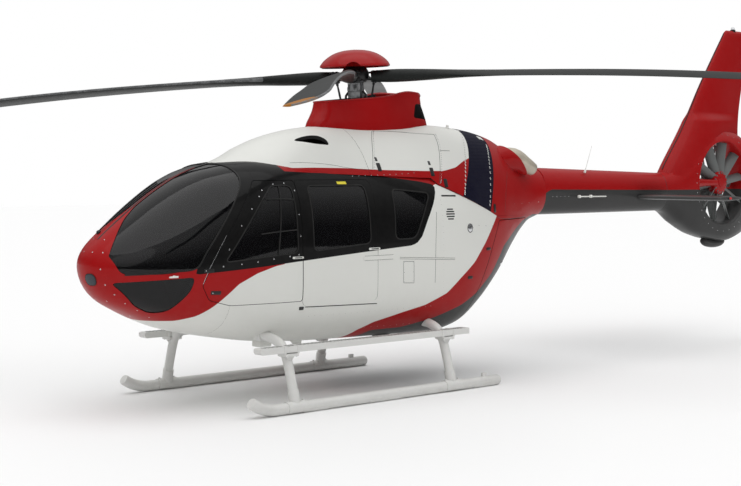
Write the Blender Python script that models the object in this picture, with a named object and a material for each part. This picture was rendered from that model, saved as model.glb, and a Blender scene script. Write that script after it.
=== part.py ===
"""Light twin-engined helicopter on skids, with a four-bladed rotor and a shrouded tail fan.

Metres. +X points to the nose, +Y to port and +Z up. Every piece is placed from the foot of the
rotor mast on the ground, and the airframe empty then moves the whole to the middle of its own box.
"""
import math

import bmesh
import bpy
from mathutils import Matrix, Vector

# Driving dimensions
MAST_X = 1.6122
GAP = 0.0003
WALL = 0.050
DOOR_WALL = 0.042
DOOR_GAP = 0.008
GLASS_OUT = 0.008
GLASS_IN = 0.016
COWL_WALL = 0.030
TAIL_JOINT_X = -2.65

ROTOR_RADIUS = 5.20
ROTOR_AZIMUTH = math.radians(45.0)
ROTOR_TILT = math.radians(2.9)
HUB_Z = 3.10
BLADE_CHORD = 0.288
BLADE_DROOP = 0.285

FAN_CENTRE = Vector((-6.13, 0.0, 1.99))
FAN_RADIUS = 0.500
DUCT_RADIUS = 0.515
DUCT_SIDES = 36

SKID_TRACK = 2.00
SKID_RADIUS = 0.0525
LEG_RADIUS = 0.045
FRONT_LEG_X = 1.615
REAR_LEG_X = -0.373

# Lengthwise curves of the fuselage: (x, value), from the nose to the boom joint
ROOF_Z = ((3.16, 1.40), (3.12, 1.47), (3.0, 1.585), (2.8, 1.74), (2.6, 1.885), (2.4, 2.01), (2.2, 2.115),
          (2.0, 2.19), (1.8, 2.235), (1.5, 2.26), (0.5, 2.26), (-0.8, 2.25), (-1.6, 2.22), (-2.65, 2.17))
COWL_Z = ((1.80, 2.235), (1.6, 2.31), (1.4, 2.41), (1.1, 2.51), (0.75, 2.575), (0.3, 2.615), (-0.3, 2.635),
          (-0.87, 2.63), (-1.3, 2.60), (-1.7, 2.53), (-2.0, 2.42), (-2.3, 2.275), (-2.65, 2.18))
BELLY_Z = ((3.16, 1.26), (3.12, 1.16), (3.0, 1.02), (2.8, 0.91), (2.6, 0.82), (2.4, 0.745), (2.2, 0.69),
           (1.9, 0.63), (1.5, 0.57), (1.0, 0.535), (0.0, 0.51), (-0.7, 0.50), (-0.95, 0.53), (-1.25, 0.66),
           (-1.6, 0.90), (-1.9, 1.16), (-2.2, 1.42), (-2.45, 1.58), (-2.65, 1.64))
HALF_WIDTH = ((3.16, 0.07), (3.12, 0.19), (3.0, 0.34), (2.8, 0.48), (2.6, 0.58), (2.3, 0.68), (2.0, 0.735),
              (1.6, 0.775), (1.2, 0.785), (-0.4, 0.785), (-0.8, 0.76), (-1.2, 0.69), (-1.6, 0.57),
              (-2.0, 0.40), (-2.4, 0.265), (-2.65, 0.225))
WIDEST_Z = ((3.16, 1.33), (2.8, 1.30), (2.0, 1.25), (0.0, 1.22), (-0.8, 1.25), (-1.4, 1.45), (-2.0, 1.70),
            (-2.65, 1.90))
ROOF_SQUARE = ((3.16, 2.0), (2.6, 2.2), (2.0, 2.8), (1.4, 3.4), (-0.8, 3.4), (-1.6, 3.0), (-2.65, 2.2))
COWL_SQUARE = ((1.8, 2.0), (0.4, 2.05), (-0.4, 2.2), (-1.0, 2.6), (-1.8, 2.5), (-2.65, 2.2))
BELLY_SQUARE = ((3.16, 2.0), (2.6, 2.3), (2.0, 2.8), (1.4, 3.2), (-0.6, 3.2), (-1.4, 2.6), (-2.65, 2.2))
BODY_STATIONS = (3.16, 3.14, 3.07, 2.96, 2.80, 2.60, 2.38, 2.14, 1.88, 1.60, 1.20, 0.55, -0.25, -0.70, -0.94,
                 -1.22, -1.52, -1.82, -2.10, -2.36, -2.65)
COWL_STATIONS = (1.79, 1.60, 1.38, 1.10, 0.75, 0.30, -0.20, -0.60, -0.95, -1.30, -1.65, -2.00, -2.30, -2.65)
RING_POINTS = 28

# Side outlines: (x, z)
SILL_Z = 0.93
NOSE_SEAM = ((1.748, 2.60), (1.748, 2.03), (2.05, 1.50), (2.10, 1.05), (2.10, 0.20))
FRONT_DOOR = ((1.765, 2.073), (2.124, 1.60), (2.296, 1.32), (2.375, 1.16), (2.30, 1.03), (2.10, 0.975),
              (1.345, 0.975), (1.345, 2.073))
FRONT_DOOR_PANE = ((1.62, 2.03), (2.17, 1.36), (1.395, 1.42), (1.395, 2.03))
SLIDING_DOOR = ((1.337, 2.075), (1.337, SILL_Z), (0.415, SILL_Z), (0.415, 2.075))
SLIDING_PANE = ((1.21, 2.025), (1.21, 1.425), (0.50, 1.475), (0.50, 2.025))
REAR_PANE = ((0.16, 1.985), (0.18, 1.50), (-0.09, 1.50), (-0.34, 1.94))
WINDSHIELD = ((3.07, 1.44), (3.005, 1.27), (2.70, 1.27), (2.405, 1.31), (2.17, 1.66), (1.87, 2.06),
              (1.84, 2.40), (3.12, 2.40))
# The nose between the windshields in plan: (x, half width), narrowing back to the centre post
NOSE_BRIDGE = ((3.40, 0.26), (3.08, 0.24), (3.00, 0.204), (2.87, 0.119), (2.785, 0.066), (2.64, 0.018))
CHIN_PANE = ((3.06, 1.20), (2.44, 1.24), (2.47, 1.12), (2.60, 0.93), (2.70, 0.915), (2.84, 0.99))
COWL_LINE = ((1.84, 2.17), (-0.42, 2.085), (-0.50, 2.02), (-1.41, 1.687), (-2.80, 1.663))
CLAMSHELL = ((-1.47, 1.635), (-0.86, 0.53), (-0.86, 0.40), (-2.26, 0.40), (-2.26, 1.635))
CABIN_REAR_X = -0.435
HOOP_X = (1.279, 1.391)
FLOOR_Z = (0.900, 0.930)

PAINT = {
    "white": ((0.80, 0.80, 0.78, 1.0), 0.30, 0.0),
    "red": ((0.58, 0.015, 0.02, 1.0), 0.28, 0.0),
    "dark_grey": ((0.07, 0.075, 0.08, 1.0), 0.40, 0.0),
    "glass": ((0.03, 0.035, 0.04, 0.45), 0.05, 0.0),
    "gear": ((0.72, 0.72, 0.70, 1.0), 0.38, 0.1),
    "metal": ((0.45, 0.45, 0.46, 1.0), 0.35, 0.9),
    "exhaust": ((0.78, 0.72, 0.60, 1.0), 0.45, 0.3),
    "interior": ((0.06, 0.06, 0.065, 1.0), 0.80, 0.0),
    "screen": ((0.02, 0.03, 0.08, 1.0), 0.70, 0.0),
    "blade": ((0.12, 0.125, 0.13, 1.0), 0.45, 0.0),
}


def clear_scene():
    for obj in list(bpy.data.objects):
        bpy.data.objects.remove(obj)


def new_collection(name):
    made = bpy.data.collections.new(name)
    bpy.context.scene.collection.children.link(made)
    return made


clear_scene()
PARTS = new_collection("helicopter")
CUTTERS = new_collection("cutters")


def new_empty(name, location, parent=None, rotation=(0.0, 0.0, 0.0)):
    empty = bpy.data.objects.new(name, None)
    empty.location = location
    empty.rotation_euler = rotation
    empty.parent = parent
    PARTS.objects.link(empty)
    return empty


AIRFRAME = new_empty("airframe", (MAST_X, 0.0, 0.0))


def new_material(name, paint):
    colour, roughness, metallic = PAINT[paint]
    made = bpy.data.materials.new(name)
    made.use_nodes = True
    shader = made.node_tree.nodes["Principled BSDF"]
    shader.inputs["Base Color"].default_value = colour
    shader.inputs["Roughness"].default_value = roughness
    shader.inputs["Metallic"].default_value = metallic
    shader.inputs["Alpha"].default_value = colour[3]
    return made


def new_part(name, mesh, paint, parent=AIRFRAME, location=(0.0, 0.0, 0.0), rotation=(0.0, 0.0, 0.0)):
    """A visible sub-part. The location and rotation are in its parent's frame."""
    part = bpy.data.objects.new(name, mesh)
    part.location = location
    part.rotation_euler = rotation
    part.parent = parent
    mesh.materials.clear()
    mesh.materials.append(new_material(name, paint))
    PARTS.objects.link(part)
    return part


def new_cutter(name, mesh, parent=AIRFRAME, location=(0.0, 0.0, 0.0), rotation=(0.0, 0.0, 0.0)):
    cutter = bpy.data.objects.new(name, mesh)
    cutter.location = location
    cutter.rotation_euler = rotation
    cutter.parent = parent
    cutter.hide_render = True
    cutter.display_type = "WIRE"
    CUTTERS.objects.link(cutter)
    return cutter


def combine(part, other, operation, solver="EXACT"):
    modifier = part.modifiers.new(other.name, "BOOLEAN")
    modifier.operation = operation
    modifier.solver = solver
    modifier.object = other


def cut(part, *cutters, solver="EXACT"):
    for cutter in cutters:
        combine(part, cutter, "DIFFERENCE", solver)


def carve(part, *cutters):
    """Cuts a thin lofted wall, where the EXACT solver leaves holes."""
    cut(part, *cutters, solver="MANIFOLD")


def mesh_from(build, name):
    """The mesh that a bmesh-building function leaves."""
    bm = bmesh.new()
    build(bm)
    bmesh.ops.recalc_face_normals(bm, faces=bm.faces)
    mesh = bpy.data.meshes.new(name)
    bm.to_mesh(mesh)
    bm.free()
    mesh.shade_smooth()
    mesh.set_sharp_from_angle(angle=math.radians(35.0))
    return mesh


def loft(rings, name):
    """A closed body through rings of equal point counts, with a flat cap at each end."""

    def build(bm):
        loops = [[bm.verts.new(point) for point in ring] for ring in rings]
        for near, far in zip(loops, loops[1:]):
            for i in range(len(near)):
                j = (i + 1) % len(near)
                bm.faces.new((near[i], near[j], far[j]))
                bm.faces.new((near[i], far[j], far[i]))
        bm.faces.new(loops[0])
        bm.faces.new(loops[-1])

    return mesh_from(build, name)


def box(low, high, name):
    low, high = Vector(low), Vector(high)

    def build(bm):
        bmesh.ops.create_cube(bm, size=1.0)
        size = high - low
        bmesh.ops.scale(bm, vec=size, verts=bm.verts)
        bmesh.ops.translate(bm, vec=(low + high) / 2, verts=bm.verts)

    return mesh_from(build, name)


def cone(radius_low, radius_high, length, name, sides=24):
    """A cylinder or cone along Z, centred on the origin."""

    def build(bm):
        bmesh.ops.create_cone(bm, cap_ends=True, segments=sides, radius1=radius_low, radius2=radius_high,
                              depth=length)

    return mesh_from(build, name)


def mesh_of_curve(curve, name):
    """A curve's evaluated mesh with its caps welded."""
    holder = bpy.data.objects.new(name, curve)
    bpy.context.scene.collection.objects.link(holder)
    graph = bpy.context.evaluated_depsgraph_get()
    mesh = bpy.data.meshes.new_from_object(holder.evaluated_get(graph))
    bpy.data.objects.remove(holder)
    bpy.data.curves.remove(curve)
    bm = bmesh.new()
    bm.from_mesh(mesh)
    bmesh.ops.remove_doubles(bm, verts=bm.verts, dist=1e-5)
    bmesh.ops.recalc_face_normals(bm, faces=bm.faces)
    bm.to_mesh(mesh)
    bm.free()
    mesh.name = name
    mesh.shade_smooth()
    mesh.set_sharp_from_angle(angle=math.radians(35.0))
    return mesh


def spline_curve(name, points, dimensions, cyclic):
    curve = bpy.data.curves.new(name, "CURVE")
    curve.dimensions = dimensions
    spline = curve.splines.new("POLY")
    spline.points.add(len(points) - 1)
    for knot, point in zip(spline.points, points):
        knot.co = (*point, 1.0) if len(point) == 3 else (*point, 0.0, 1.0)
    spline.use_cyclic_u = cyclic
    return curve


def tube(points, radius, name, resolution=2):
    curve = spline_curve(name, points, "3D", False)
    curve.bevel_depth = radius
    curve.bevel_resolution = resolution
    curve.use_fill_caps = True
    return mesh_of_curve(curve, name)


def side_plate(outline, y_low, y_high, name):
    """An outline in x and z, made solid between two y values."""
    curve = spline_curve(name, outline, "2D", True)
    curve.fill_mode = "BOTH"
    curve.extrude = (y_high - y_low) / 2
    mesh = mesh_of_curve(curve, name)
    stand_up = Matrix.Rotation(math.radians(90.0), 4, "X")
    mesh.transform(Matrix.Translation((0.0, (y_low + y_high) / 2, 0.0)) @ stand_up)
    return mesh


def inset_outline(outline, distance):
    """A closed outline moved inwards by a distance."""
    points = [Vector(p) for p in outline]
    area = sum(a.x * b.y - b.x * a.y for a, b in zip(points, points[1:] + points[:1]))
    turn = 1.0 if area > 0 else -1.0
    moved = []
    for i, here in enumerate(points):
        before = (here - points[i - 1]).normalized()
        after = (points[(i + 1) % len(points)] - here).normalized()
        inward_before = Vector((-before.y, before.x)) * turn
        inward_after = Vector((-after.y, after.x)) * turn
        middle = (inward_before + inward_after).normalized()
        moved.append(here + middle * (distance / max(middle.dot(inward_after), 0.3)))
    return [tuple(p) for p in moved]


def rounded(outline, radius, steps=2):
    """A closed outline with each corner replaced by an arc-like curve."""
    points = [Vector(p) for p in outline]
    smooth = []
    for i, here in enumerate(points):
        back = points[i - 1] - here
        ahead = points[(i + 1) % len(points)] - here
        reach = min(radius, back.length * 0.45, ahead.length * 0.45)
        start = here + back.normalized() * reach
        end = here + ahead.normalized() * reach
        for k in range(steps + 1):
            t = k / steps
            smooth.append(tuple(start * (1 - t) ** 2 + here * 2 * t * (1 - t) + end * t * t))
    return smooth


def curve_at(x, knots):
    """A smooth curve through the knots that keeps between neighbouring values."""
    knots = sorted(knots)
    x = min(max(x, knots[0][0]), knots[-1][0])
    slopes = [(b[1] - a[1]) / (b[0] - a[0]) for a, b in zip(knots, knots[1:])]
    bends = [0.0 if a * b <= 0 else 2 * a * b / (a + b) for a, b in zip(slopes, slopes[1:])]
    tangents = [slopes[0], *bends, slopes[-1]]
    i = max(k for k in range(len(knots) - 1) if k == 0 or x >= knots[k][0])
    step = knots[i + 1][0] - knots[i][0]
    t = (x - knots[i][0]) / step
    return ((1 + 2 * t) * (1 - t) ** 2 * knots[i][1] + t * (1 - t) ** 2 * step * tangents[i]
            + t * t * (3 - 2 * t) * knots[i + 1][1] + t * t * (t - 1) * step * tangents[i + 1])


ROUND = [2 * math.pi * i / RING_POINTS for i in range(RING_POINTS)]


def section(x, top_knots, top_square, inset, angles=ROUND):
    """Points across the fuselage at x, drawn in by an inset."""
    middle = curve_at(x, WIDEST_Z)
    half = curve_at(x, HALF_WIDTH) - inset
    up = curve_at(x, top_knots) - middle - inset
    down = middle - curve_at(x, BELLY_Z) - inset
    ring = []
    for angle in angles:
        across, rise = math.cos(angle), math.sin(angle)
        height, power = (up, curve_at(x, top_square)) if rise > 0 else (down, curve_at(x, BELLY_SQUARE))
        reach = ((abs(across) / half) ** power + (abs(rise) / height) ** power) ** (-1 / power)
        ring.append(Vector((across * reach, middle + rise * reach)))
    return ring


def fuselage(stations, top_knots, top_square, inset, name):
    """The fuselage as a closed body whose skin lies an inset inside the outer one."""
    front, back = stations[0], stations[-1]
    rings = []
    for station in stations:
        x = min(max(station, back + max(inset, 0.0)), front - max(inset, 0.0))
        if rings and abs(rings[-1][0].x - x) < 1e-4:
            continue
        allowed = min(inset, curve_at(x, HALF_WIDTH) * 0.6)
        rings.append([Vector((x, p.x, p.y)) for p in section(x, top_knots, top_square, allowed)])
    return loft(rings, name)


def body_skin(inset, name):
    return fuselage(BODY_STATIONS, ROOF_Z, ROOF_SQUARE, inset, name)


def cowl_skin(inset, name):
    return fuselage(COWL_STATIONS, COWL_Z, COWL_SQUARE, inset, name)


SIDES = (("left", 1.0), ("right", -1.0))
REACH = 1.2


def new_hoop():
    """The door frame inside the wall between the front and sliding doors, from floor to roof."""
    hoop = new_cutter("hoop", body_skin(WALL - 0.0025, "hoop"))
    low, high = (HOOP_X[0], -1.0, FLOOR_Z[1] + GAP), (HOOP_X[1], 1.0, 2.5)
    combine(hoop, new_cutter("hoop_slab", box(low, high, "hoop_slab")), "INTERSECT", "MANIFOLD")
    carve(hoop, new_cutter("hoop_room", body_skin(2 * WALL, "hoop_room")))
    return hoop


def side_cutter(outline, side, name, inner=0.05):
    """An outline cutter that passes through one side of the fuselage."""
    low, high = sorted((side * inner, side * REACH))
    return new_cutter(name, side_plate(outline, low, high, name))


def through_cutter(outline, name):
    return new_cutter(name, side_plate(outline, -REACH, REACH, name))


def windshield_cutter(outline, side, name, inner, grow):
    """One windshield's outline through one side, less the nose bridge made wider by a growth."""
    cutter = side_cutter(rounded(outline, 0.06), side, name, inner)
    half = [(x, y + grow) for x, y in NOSE_BRIDGE]
    plan = half + [(x, -y) for x, y in reversed(half)]
    bridge = loft([[Vector((x, y, z)) for x, y in plan] for z in (1.1, 2.6)], f"{name}_bridge")
    carve(cutter, new_cutter(f"{name}_bridge", bridge))
    return cutter


def door_hole(name, outline, hinge_heights, low, high):
    """An opening with a running gap round its door, except at the hinges, where the door is seated."""
    hole = new_cutter(name, side_plate(rounded(inset_outline(outline, -DOOR_GAP), 0.03), low, high, name))
    for number, height in enumerate(hinge_heights):
        leaf = box((-3, -2, height - HINGE_LENGTH / 2), (3, 2, height + HINGE_LENGTH / 2), f"{name}_leaf")
        carve(hole, new_cutter(f"{name}_leaf_{number}", leaf))
    seat = side_plate(rounded(inset_outline(outline, -GAP), 0.03), low - 0.001, high + 0.001, f"{name}_seat")
    combine(hole, new_cutter(f"{name}_seat", seat), "UNION", "MANIFOLD")
    return hole


def skin_piece(name, paint, region, outer, inner, parent=AIRFRAME, skin=body_skin):
    """The part of the wall between two insets that lies inside a region cutter."""
    piece = new_part(name, skin(outer, name), paint, parent)
    combine(piece, region, "INTERSECT", "MANIFOLD")
    carve(piece, inner)
    return piece


def place_in(part, frame):
    """Puts a part that was modelled in the airframe's frame under an empty, without moving it."""
    part.parent = frame
    part.matrix_parent_inverse = (Matrix.Translation(frame.location)
                                  @ frame.rotation_euler.to_matrix().to_4x4()).inverted()


def add_fuselage():
    room = new_cutter("room", body_skin(WALL, "room"))
    door_room = new_cutter("door_room", body_skin(DOOR_WALL, "door_room"))
    glass_room = new_cutter("glass_room", body_skin(GLASS_IN, "glass_room"))

    nose_region = through_cutter(((3.4, 0.2), (3.4, 2.6), *NOSE_SEAM), "nose_region")
    nose = skin_piece("nose_shell", "red", nose_region, 0.0, room)

    cabin_seam = tuple((x - GAP, z) for x, z in NOSE_SEAM)
    cabin_region = through_cutter((*cabin_seam, (CABIN_REAR_X, 0.2), (CABIN_REAR_X, 2.6)), "cabin_region")
    cabin = skin_piece("cabin_shell", "white", cabin_region, 0.0, room)
    hoop = new_hoop()
    front_hole = door_hole("front_door_hole", FRONT_DOOR, FRONT_HINGE_Z, -REACH, REACH)
    slide_outline = [(x, max(z, SILL_Z - GAP)) for x, z in inset_outline(SLIDING_DOOR, -0.003)]
    slide_hole = through_cutter(rounded(slide_outline, 0.05), "sliding_door_hole")
    rear_hole = through_cutter(rounded(REAR_PANE, 0.07), "rear_window_hole")
    carve(nose, front_hole)
    carve(cabin, front_hole, slide_hole, rear_hole)

    rear_outline = ((CABIN_REAR_X - GAP, 0.2), (CABIN_REAR_X - GAP, 2.6), (TAIL_JOINT_X - 0.1, 2.6),
                    (TAIL_JOINT_X - 0.1, 0.2))
    rear_region = through_cutter(rear_outline, "rear_region")
    rear = skin_piece("rear_shell", "red", rear_region, 0.0, room)
    above_line = through_cutter((*inset_line(COWL_LINE, -GAP), (-2.9, 3.0), (1.9, 3.0)), "above_line")
    carve(rear, above_line)

    for label, side in SIDES:
        opening = windshield_cutter(WINDSHIELD, side, f"windshield_opening_{label}", 0.022, 0.0)
        chin = side_cutter(rounded(CHIN_PANE, 0.05), side, f"chin_opening_{label}", inner=0.13)
        carve(nose, opening, chin)
        pane = windshield_cutter(inset_outline(WINDSHIELD, GAP * 2), side, f"windshield_edge_{label}",
                                 0.0226, GAP * 2)
        skin_piece(f"windshield_{label}", "glass", pane, GLASS_OUT, glass_room)
        chin_edge = side_cutter(rounded(inset_outline(CHIN_PANE, GAP * 2), 0.05), side,
                                f"chin_edge_{label}", inner=0.1306)
        skin_piece(f"chin_window_{label}", "glass", chin_edge, GLASS_OUT, glass_room)

        rear_edge = side_cutter(rounded(inset_outline(REAR_PANE, GAP * 2), 0.07), side,
                                f"rear_window_edge_{label}", inner=0.3)
        skin_piece(f"rear_window_{label}", "glass", rear_edge, GLASS_OUT, glass_room)

        add_front_door(label, side, door_room, glass_room)
        add_sliding_door(label, side, door_room, glass_room)
        add_clamshell(label, side, rear, room)
    combine(cabin, hoop, "UNION", "MANIFOLD")
    return nose, cabin, rear


def inset_line(line, rise):
    """An open outline shifted straight up."""
    return tuple((x, z + rise) for x, z in line)


HINGE_LENGTH = 0.05
FRONT_HINGE_Z = (1.31, 1.58)
FRONT_HINGE = Vector((2.40, 0.70, 1.17))
FRONT_HINGE_LEAN = math.atan2(0.07, 0.23)


def add_front_door(label, side, door_room, glass_room):
    hinge = new_empty(f"front_door_hinge_{label}", (FRONT_HINGE.x, side * FRONT_HINGE.y, FRONT_HINGE.z),
                      AIRFRAME, (0.0, -FRONT_HINGE_LEAN, 0.0))
    region = side_cutter(rounded(FRONT_DOOR, 0.03), side, f"front_door_region_{label}", inner=0.3)
    door = skin_piece(f"front_door_{label}", "white", region, 0.0, door_room)
    hole = side_cutter(rounded(FRONT_DOOR_PANE, 0.06), side, f"front_pane_hole_{label}", inner=0.3)
    carve(door, hole)
    edge = side_cutter(rounded(inset_outline(FRONT_DOOR_PANE, GAP * 2), 0.06), side,
                       f"front_pane_edge_{label}", inner=0.3)
    pane = skin_piece(f"front_door_window_{label}", "glass", edge, GLASS_OUT, glass_room)
    place_in(door, hinge)
    place_in(pane, hinge)


def add_sliding_door(label, side, door_room, glass_room):
    region = side_cutter(rounded(SLIDING_DOOR, 0.05), side, f"sliding_door_region_{label}", inner=0.3)
    door = skin_piece(f"sliding_door_{label}", "white", region, 0.0, door_room)
    hole = side_cutter(rounded(SLIDING_PANE, 0.06), side, f"sliding_pane_hole_{label}", inner=0.3)
    carve(door, hole)
    edge = side_cutter(rounded(inset_outline(SLIDING_PANE, GAP * 2), 0.06), side,
                       f"sliding_pane_edge_{label}", inner=0.3)
    skin_piece(f"sliding_door_window_{label}", "glass", edge, GLASS_OUT, glass_room)


CLAM_END_X = -1.92
CLAM_HINGE_Z = (1.07, 1.35)
CLAM_HINGE = Vector((-1.165, 0.80, 1.083))
CLAM_LEAN = math.atan2(-0.61, 1.105)


def add_clamshell(label, side, rear, room):
    hinge = new_empty(f"clamshell_hinge_{label}", (CLAM_HINGE.x, side * CLAM_HINGE.y, CLAM_HINGE.z),
                      AIRFRAME, (0.0, CLAM_LEAN, 0.0))
    low, high = sorted((-side * 0.01, side * REACH))
    hole = door_hole(f"clamshell_hole_{label}", CLAMSHELL, CLAM_HINGE_Z, low, high)
    low, high = sorted((side * 0.004, side * REACH))
    region = new_cutter(f"clamshell_region_{label}",
                        side_plate(rounded(CLAMSHELL, 0.03), low, high, f"clamshell_region_{label}"))
    # The door ends on a slant in plan, so that its rear edge swings clear of the shell behind it
    for cutter, back in ((hole, 0.012), (region, 0.0)):
        name = f"{cutter.name}_end"
        end = box((-2.0, -1.5, 0.9), (0.0, 1.5, 2.2), name)
        carve(cutter, new_cutter(name, end, location=(CLAM_END_X - back, 0.0, 0.0),
                                 rotation=(0.0, 0.0, side * math.radians(45.0))))
    carve(rear, hole)
    door = skin_piece(f"clamshell_door_{label}", "red", region, 0.0, room)
    place_in(door, hinge)


def add_floor():
    floor = new_part("cabin_floor", body_skin(WALL + GAP, "cabin_floor"), "interior")
    slab = new_cutter("floor_slab", box((-0.84, -1, FLOOR_Z[0]), (2.45, 1, FLOOR_Z[1]), "floor_slab"))
    combine(floor, slab, "INTERSECT", "MANIFOLD")


def add_cabin_fittings():
    panel = ((2.46, FLOOR_Z[1] + GAP), (2.62, 1.28), (2.60, 1.56), (2.30, 1.60), (2.34, 1.50), (2.36, 1.20),
             (2.28, FLOOR_Z[1] + GAP))
    new_part("instrument_panel", side_plate(panel, -0.34, 0.34, "instrument_panel"), "interior")
    console = ((2.27, FLOOR_Z[1] + GAP), (2.30, 1.12), (1.78, 1.06), (1.74, FLOOR_Z[1] + GAP))
    new_part("centre_console", side_plate(console, -0.12, 0.12, "centre_console"), "interior")
    seat = ((1.94, FLOOR_Z[1] + GAP), (1.98, 1.24), (1.96, 1.34), (1.62, 1.30), (1.51, 1.80), (1.42, 1.80),
            (1.47, 1.22), (1.50, FLOOR_Z[1] + GAP))
    headrest = ((1.53, 1.72), (1.50, 2.00), (1.42, 2.00), (1.43, 1.72))
    for label, side in SIDES:
        low, high = sorted((side * 0.16, side * 0.59))
        frame = side_plate(rounded(seat, 0.04), low, high, f"pilot_seat_{label}")
        chair = new_part(f"pilot_seat_{label}", frame, "interior")
        low, high = sorted((side * 0.26, side * 0.49))
        rest = side_plate(rounded(headrest, 0.03), low, high, f"headrest_{label}")
        combine(chair, new_cutter(f"headrest_{label}", rest), "UNION")
    bench = tuple((x - 1.66, z) for x, z in seat[:4]) + ((-0.14, 1.88), (-0.24, 1.88), (-0.20, 1.22),
                                                         (-0.16, FLOOR_Z[1] + GAP))
    new_part("rear_bench", side_plate(rounded(bench, 0.04), -0.62, 0.62, "rear_bench"), "interior")


# Where the hoods meet, front to back: (x at z 1.0, x at z 3.2)
COWL_SEAMS = ((1.84, 1.84), (0.35, 0.35), (-0.30, -1.591), (-1.007, -1.849), (-2.66, -2.66))
SEAM_GAP = 0.003


def add_cowls():
    """The hoods over the gearbox and engines, which sit on the cabin roof and rear shell."""
    inner = new_cutter("cowl_room", cowl_skin(COWL_WALL, "cowl_room"))
    roof = new_cutter("roof_clear", body_skin(-GAP, "roof_clear"))
    roof_front = new_cutter("roof_front", box((CABIN_REAR_X - GAP, -1, 0.3), (3.3, 1, 2.5), "roof_front"))
    combine(roof, roof_front, "INTERSECT", "MANIFOLD")
    line = COWL_LINE
    spans = (("cowl_front", "white", 0, 0.0), ("cowl_left", "white", 1, 1.0), ("cowl_right", "white", 1, -1.0),
             ("intake_screen", "screen", 2, 0.0), ("cowl_rear", "red", 3, 0.0))
    above = ((*line, (-2.9, 3.0), (1.84, 3.0)))
    well = new_cutter("mast_well", cone(1.0, 1.0, 0.8, "mast_well", 24), location=(PYLON_X, 0.0, 2.7))
    well.scale = (0.60, 0.20, 1.0)
    for name, paint, seam, side in spans:
        (low_front, high_front), (low_back, high_back) = COWL_SEAMS[seam], COWL_SEAMS[seam + 1]
        low_y, high_y = (-REACH, REACH) if side == 0 else sorted((side * 0.0015, side * REACH))
        region = new_cutter(f"{name}_region", side_plate(above, low_y, high_y, f"{name}_region"))
        ends = ((low_back + SEAM_GAP, 1.0), (low_front, 1.0), (high_front, 3.2), (high_back + SEAM_GAP, 3.2))
        ends = new_cutter(f"{name}_ends", side_plate(ends, -2, 2, f"{name}_ends"))
        combine(region, ends, "INTERSECT")
        cowl = skin_piece(name, paint, region, 0.0, inner, skin=cowl_skin)
        carve(cowl, roof)
        if name in ("cowl_front", "cowl_left", "cowl_right"):
            carve(cowl, well)
        if name == "cowl_front":
            for label, reach in SIDES:
                scoop = box((0.62, -0.09, -0.035), (1.20, 0.09, 0.035), "scoop")
                carve(cowl, new_cutter(f"scoop_{label}", scoop, location=(0.05, reach * 0.40, 2.43)))


PYLON_X = -0.17


def ellipse_ring(length, width, height, slope, points=24):
    ring = []
    for i in range(points):
        angle = 2 * math.pi * i / points
        x = length * math.cos(angle)
        ring.append(Vector((PYLON_X + x, width * math.sin(angle), height - slope * x)))
    return ring


def add_pylon():
    shape = ((0.82, 0.275, 2.45, 0.0), (0.79, 0.27, 2.62, 0.02), (0.745, 0.262, 2.72, 0.05),
             (0.705, 0.255, 2.81, 0.07), (0.69, 0.25, 2.885, 0.09))
    wall = 0.022
    outer = loft([ellipse_ring(*ring) for ring in shape], "pylon_fairing")
    inner_shape = [(a - wall, b - wall, z, slope) for a, b, z, slope in shape]
    inner_shape[0] = (shape[0][0] - wall, shape[0][1] - wall, 2.40, 0.0)
    inner_shape[-1] = (shape[-1][0] - wall, shape[-1][1] - wall, 2.95, shape[-1][3])
    inner = new_cutter("pylon_room", loft([ellipse_ring(*ring) for ring in inner_shape], "pylon_room"))
    pylon = new_part("pylon_fairing", outer, "red")
    cowl_clear = new_cutter("cowl_clear", cowl_skin(-GAP, "cowl_clear"))
    carve(pylon, inner, cowl_clear)


ENGINE_X = (-1.50, -0.68)


def add_gearbox():
    casing = box((-0.40, -0.17, 2.20), (0.18, 0.17, 2.52), "main_gearbox")
    gearbox = new_part("main_gearbox", casing, "metal")
    carve(gearbox, new_cutter("gearbox_seat", body_skin(-GAP, "gearbox_seat")))
    return gearbox


def add_engines():
    deck = new_part("engine_deck", cowl_skin(COWL_WALL + GAP, "engine_deck"), "metal")
    slab = new_cutter("deck_slab", box((-2.20, -1, 1.97), (-0.66, 1, 2.00), "deck_slab"))
    combine(deck, slab, "INTERSECT", "MANIFOLD")
    for label, side in SIDES:
        low, high = sorted((side * 0.08, side * 0.38))
        block = box((ENGINE_X[0], low, 2.00 + GAP), (ENGINE_X[1], high, 2.30), f"engine_{label}")
        new_part(f"engine_{label}", block, "metal")


# Each exhaust: (x, y, z, radius) along its middle line, from the engine to its mouth
EXHAUST = ((ENGINE_X[0] - GAP, 0.23, 2.16, 0.100), (-1.62, 0.235, 2.20, 0.100), (-1.80, 0.26, 2.275, 0.115),
           (-2.02, 0.30, 2.285, 0.112), (-2.18, 0.318, 2.222, 0.090), (-2.31, 0.328, 2.165, 0.066))
EXHAUST_WALL = 0.006
EXHAUST_ROOM = 0.004
COLLAR_WALL = 0.022
COLLAR_SIDE = ((-1.45, 1.90), (-2.406, 1.90), (-1.641, 2.60), (-1.45, 2.60))


def pipe_rings(side, grow, first, onward=0.0):
    """Circles square to the exhaust's middle line, each moved out by a growth, and one past the mouth."""
    middle = [Vector((x, side * y, z)) for x, y, z, _ in EXHAUST]
    rings = []
    for i in range(first, len(EXHAUST)):
        along = middle[min(i + 1, len(middle) - 1)] - middle[max(i - 1, 0)]
        if i == 0:
            along = Vector((-1.0, 0.0, 0.0))
        turn = along.to_track_quat("Z", "Y")
        radius = EXHAUST[i][3] + grow
        rings.append([middle[i] + turn @ Vector((radius * math.cos(a), radius * math.sin(a), 0.0))
                      for a in (2 * math.pi * k / 16 for k in range(16))])
    if onward:
        past = (middle[-1] - middle[-2]).normalized() * onward
        rings.append([point + past for point in rings[-1]])
    return rings


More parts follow.
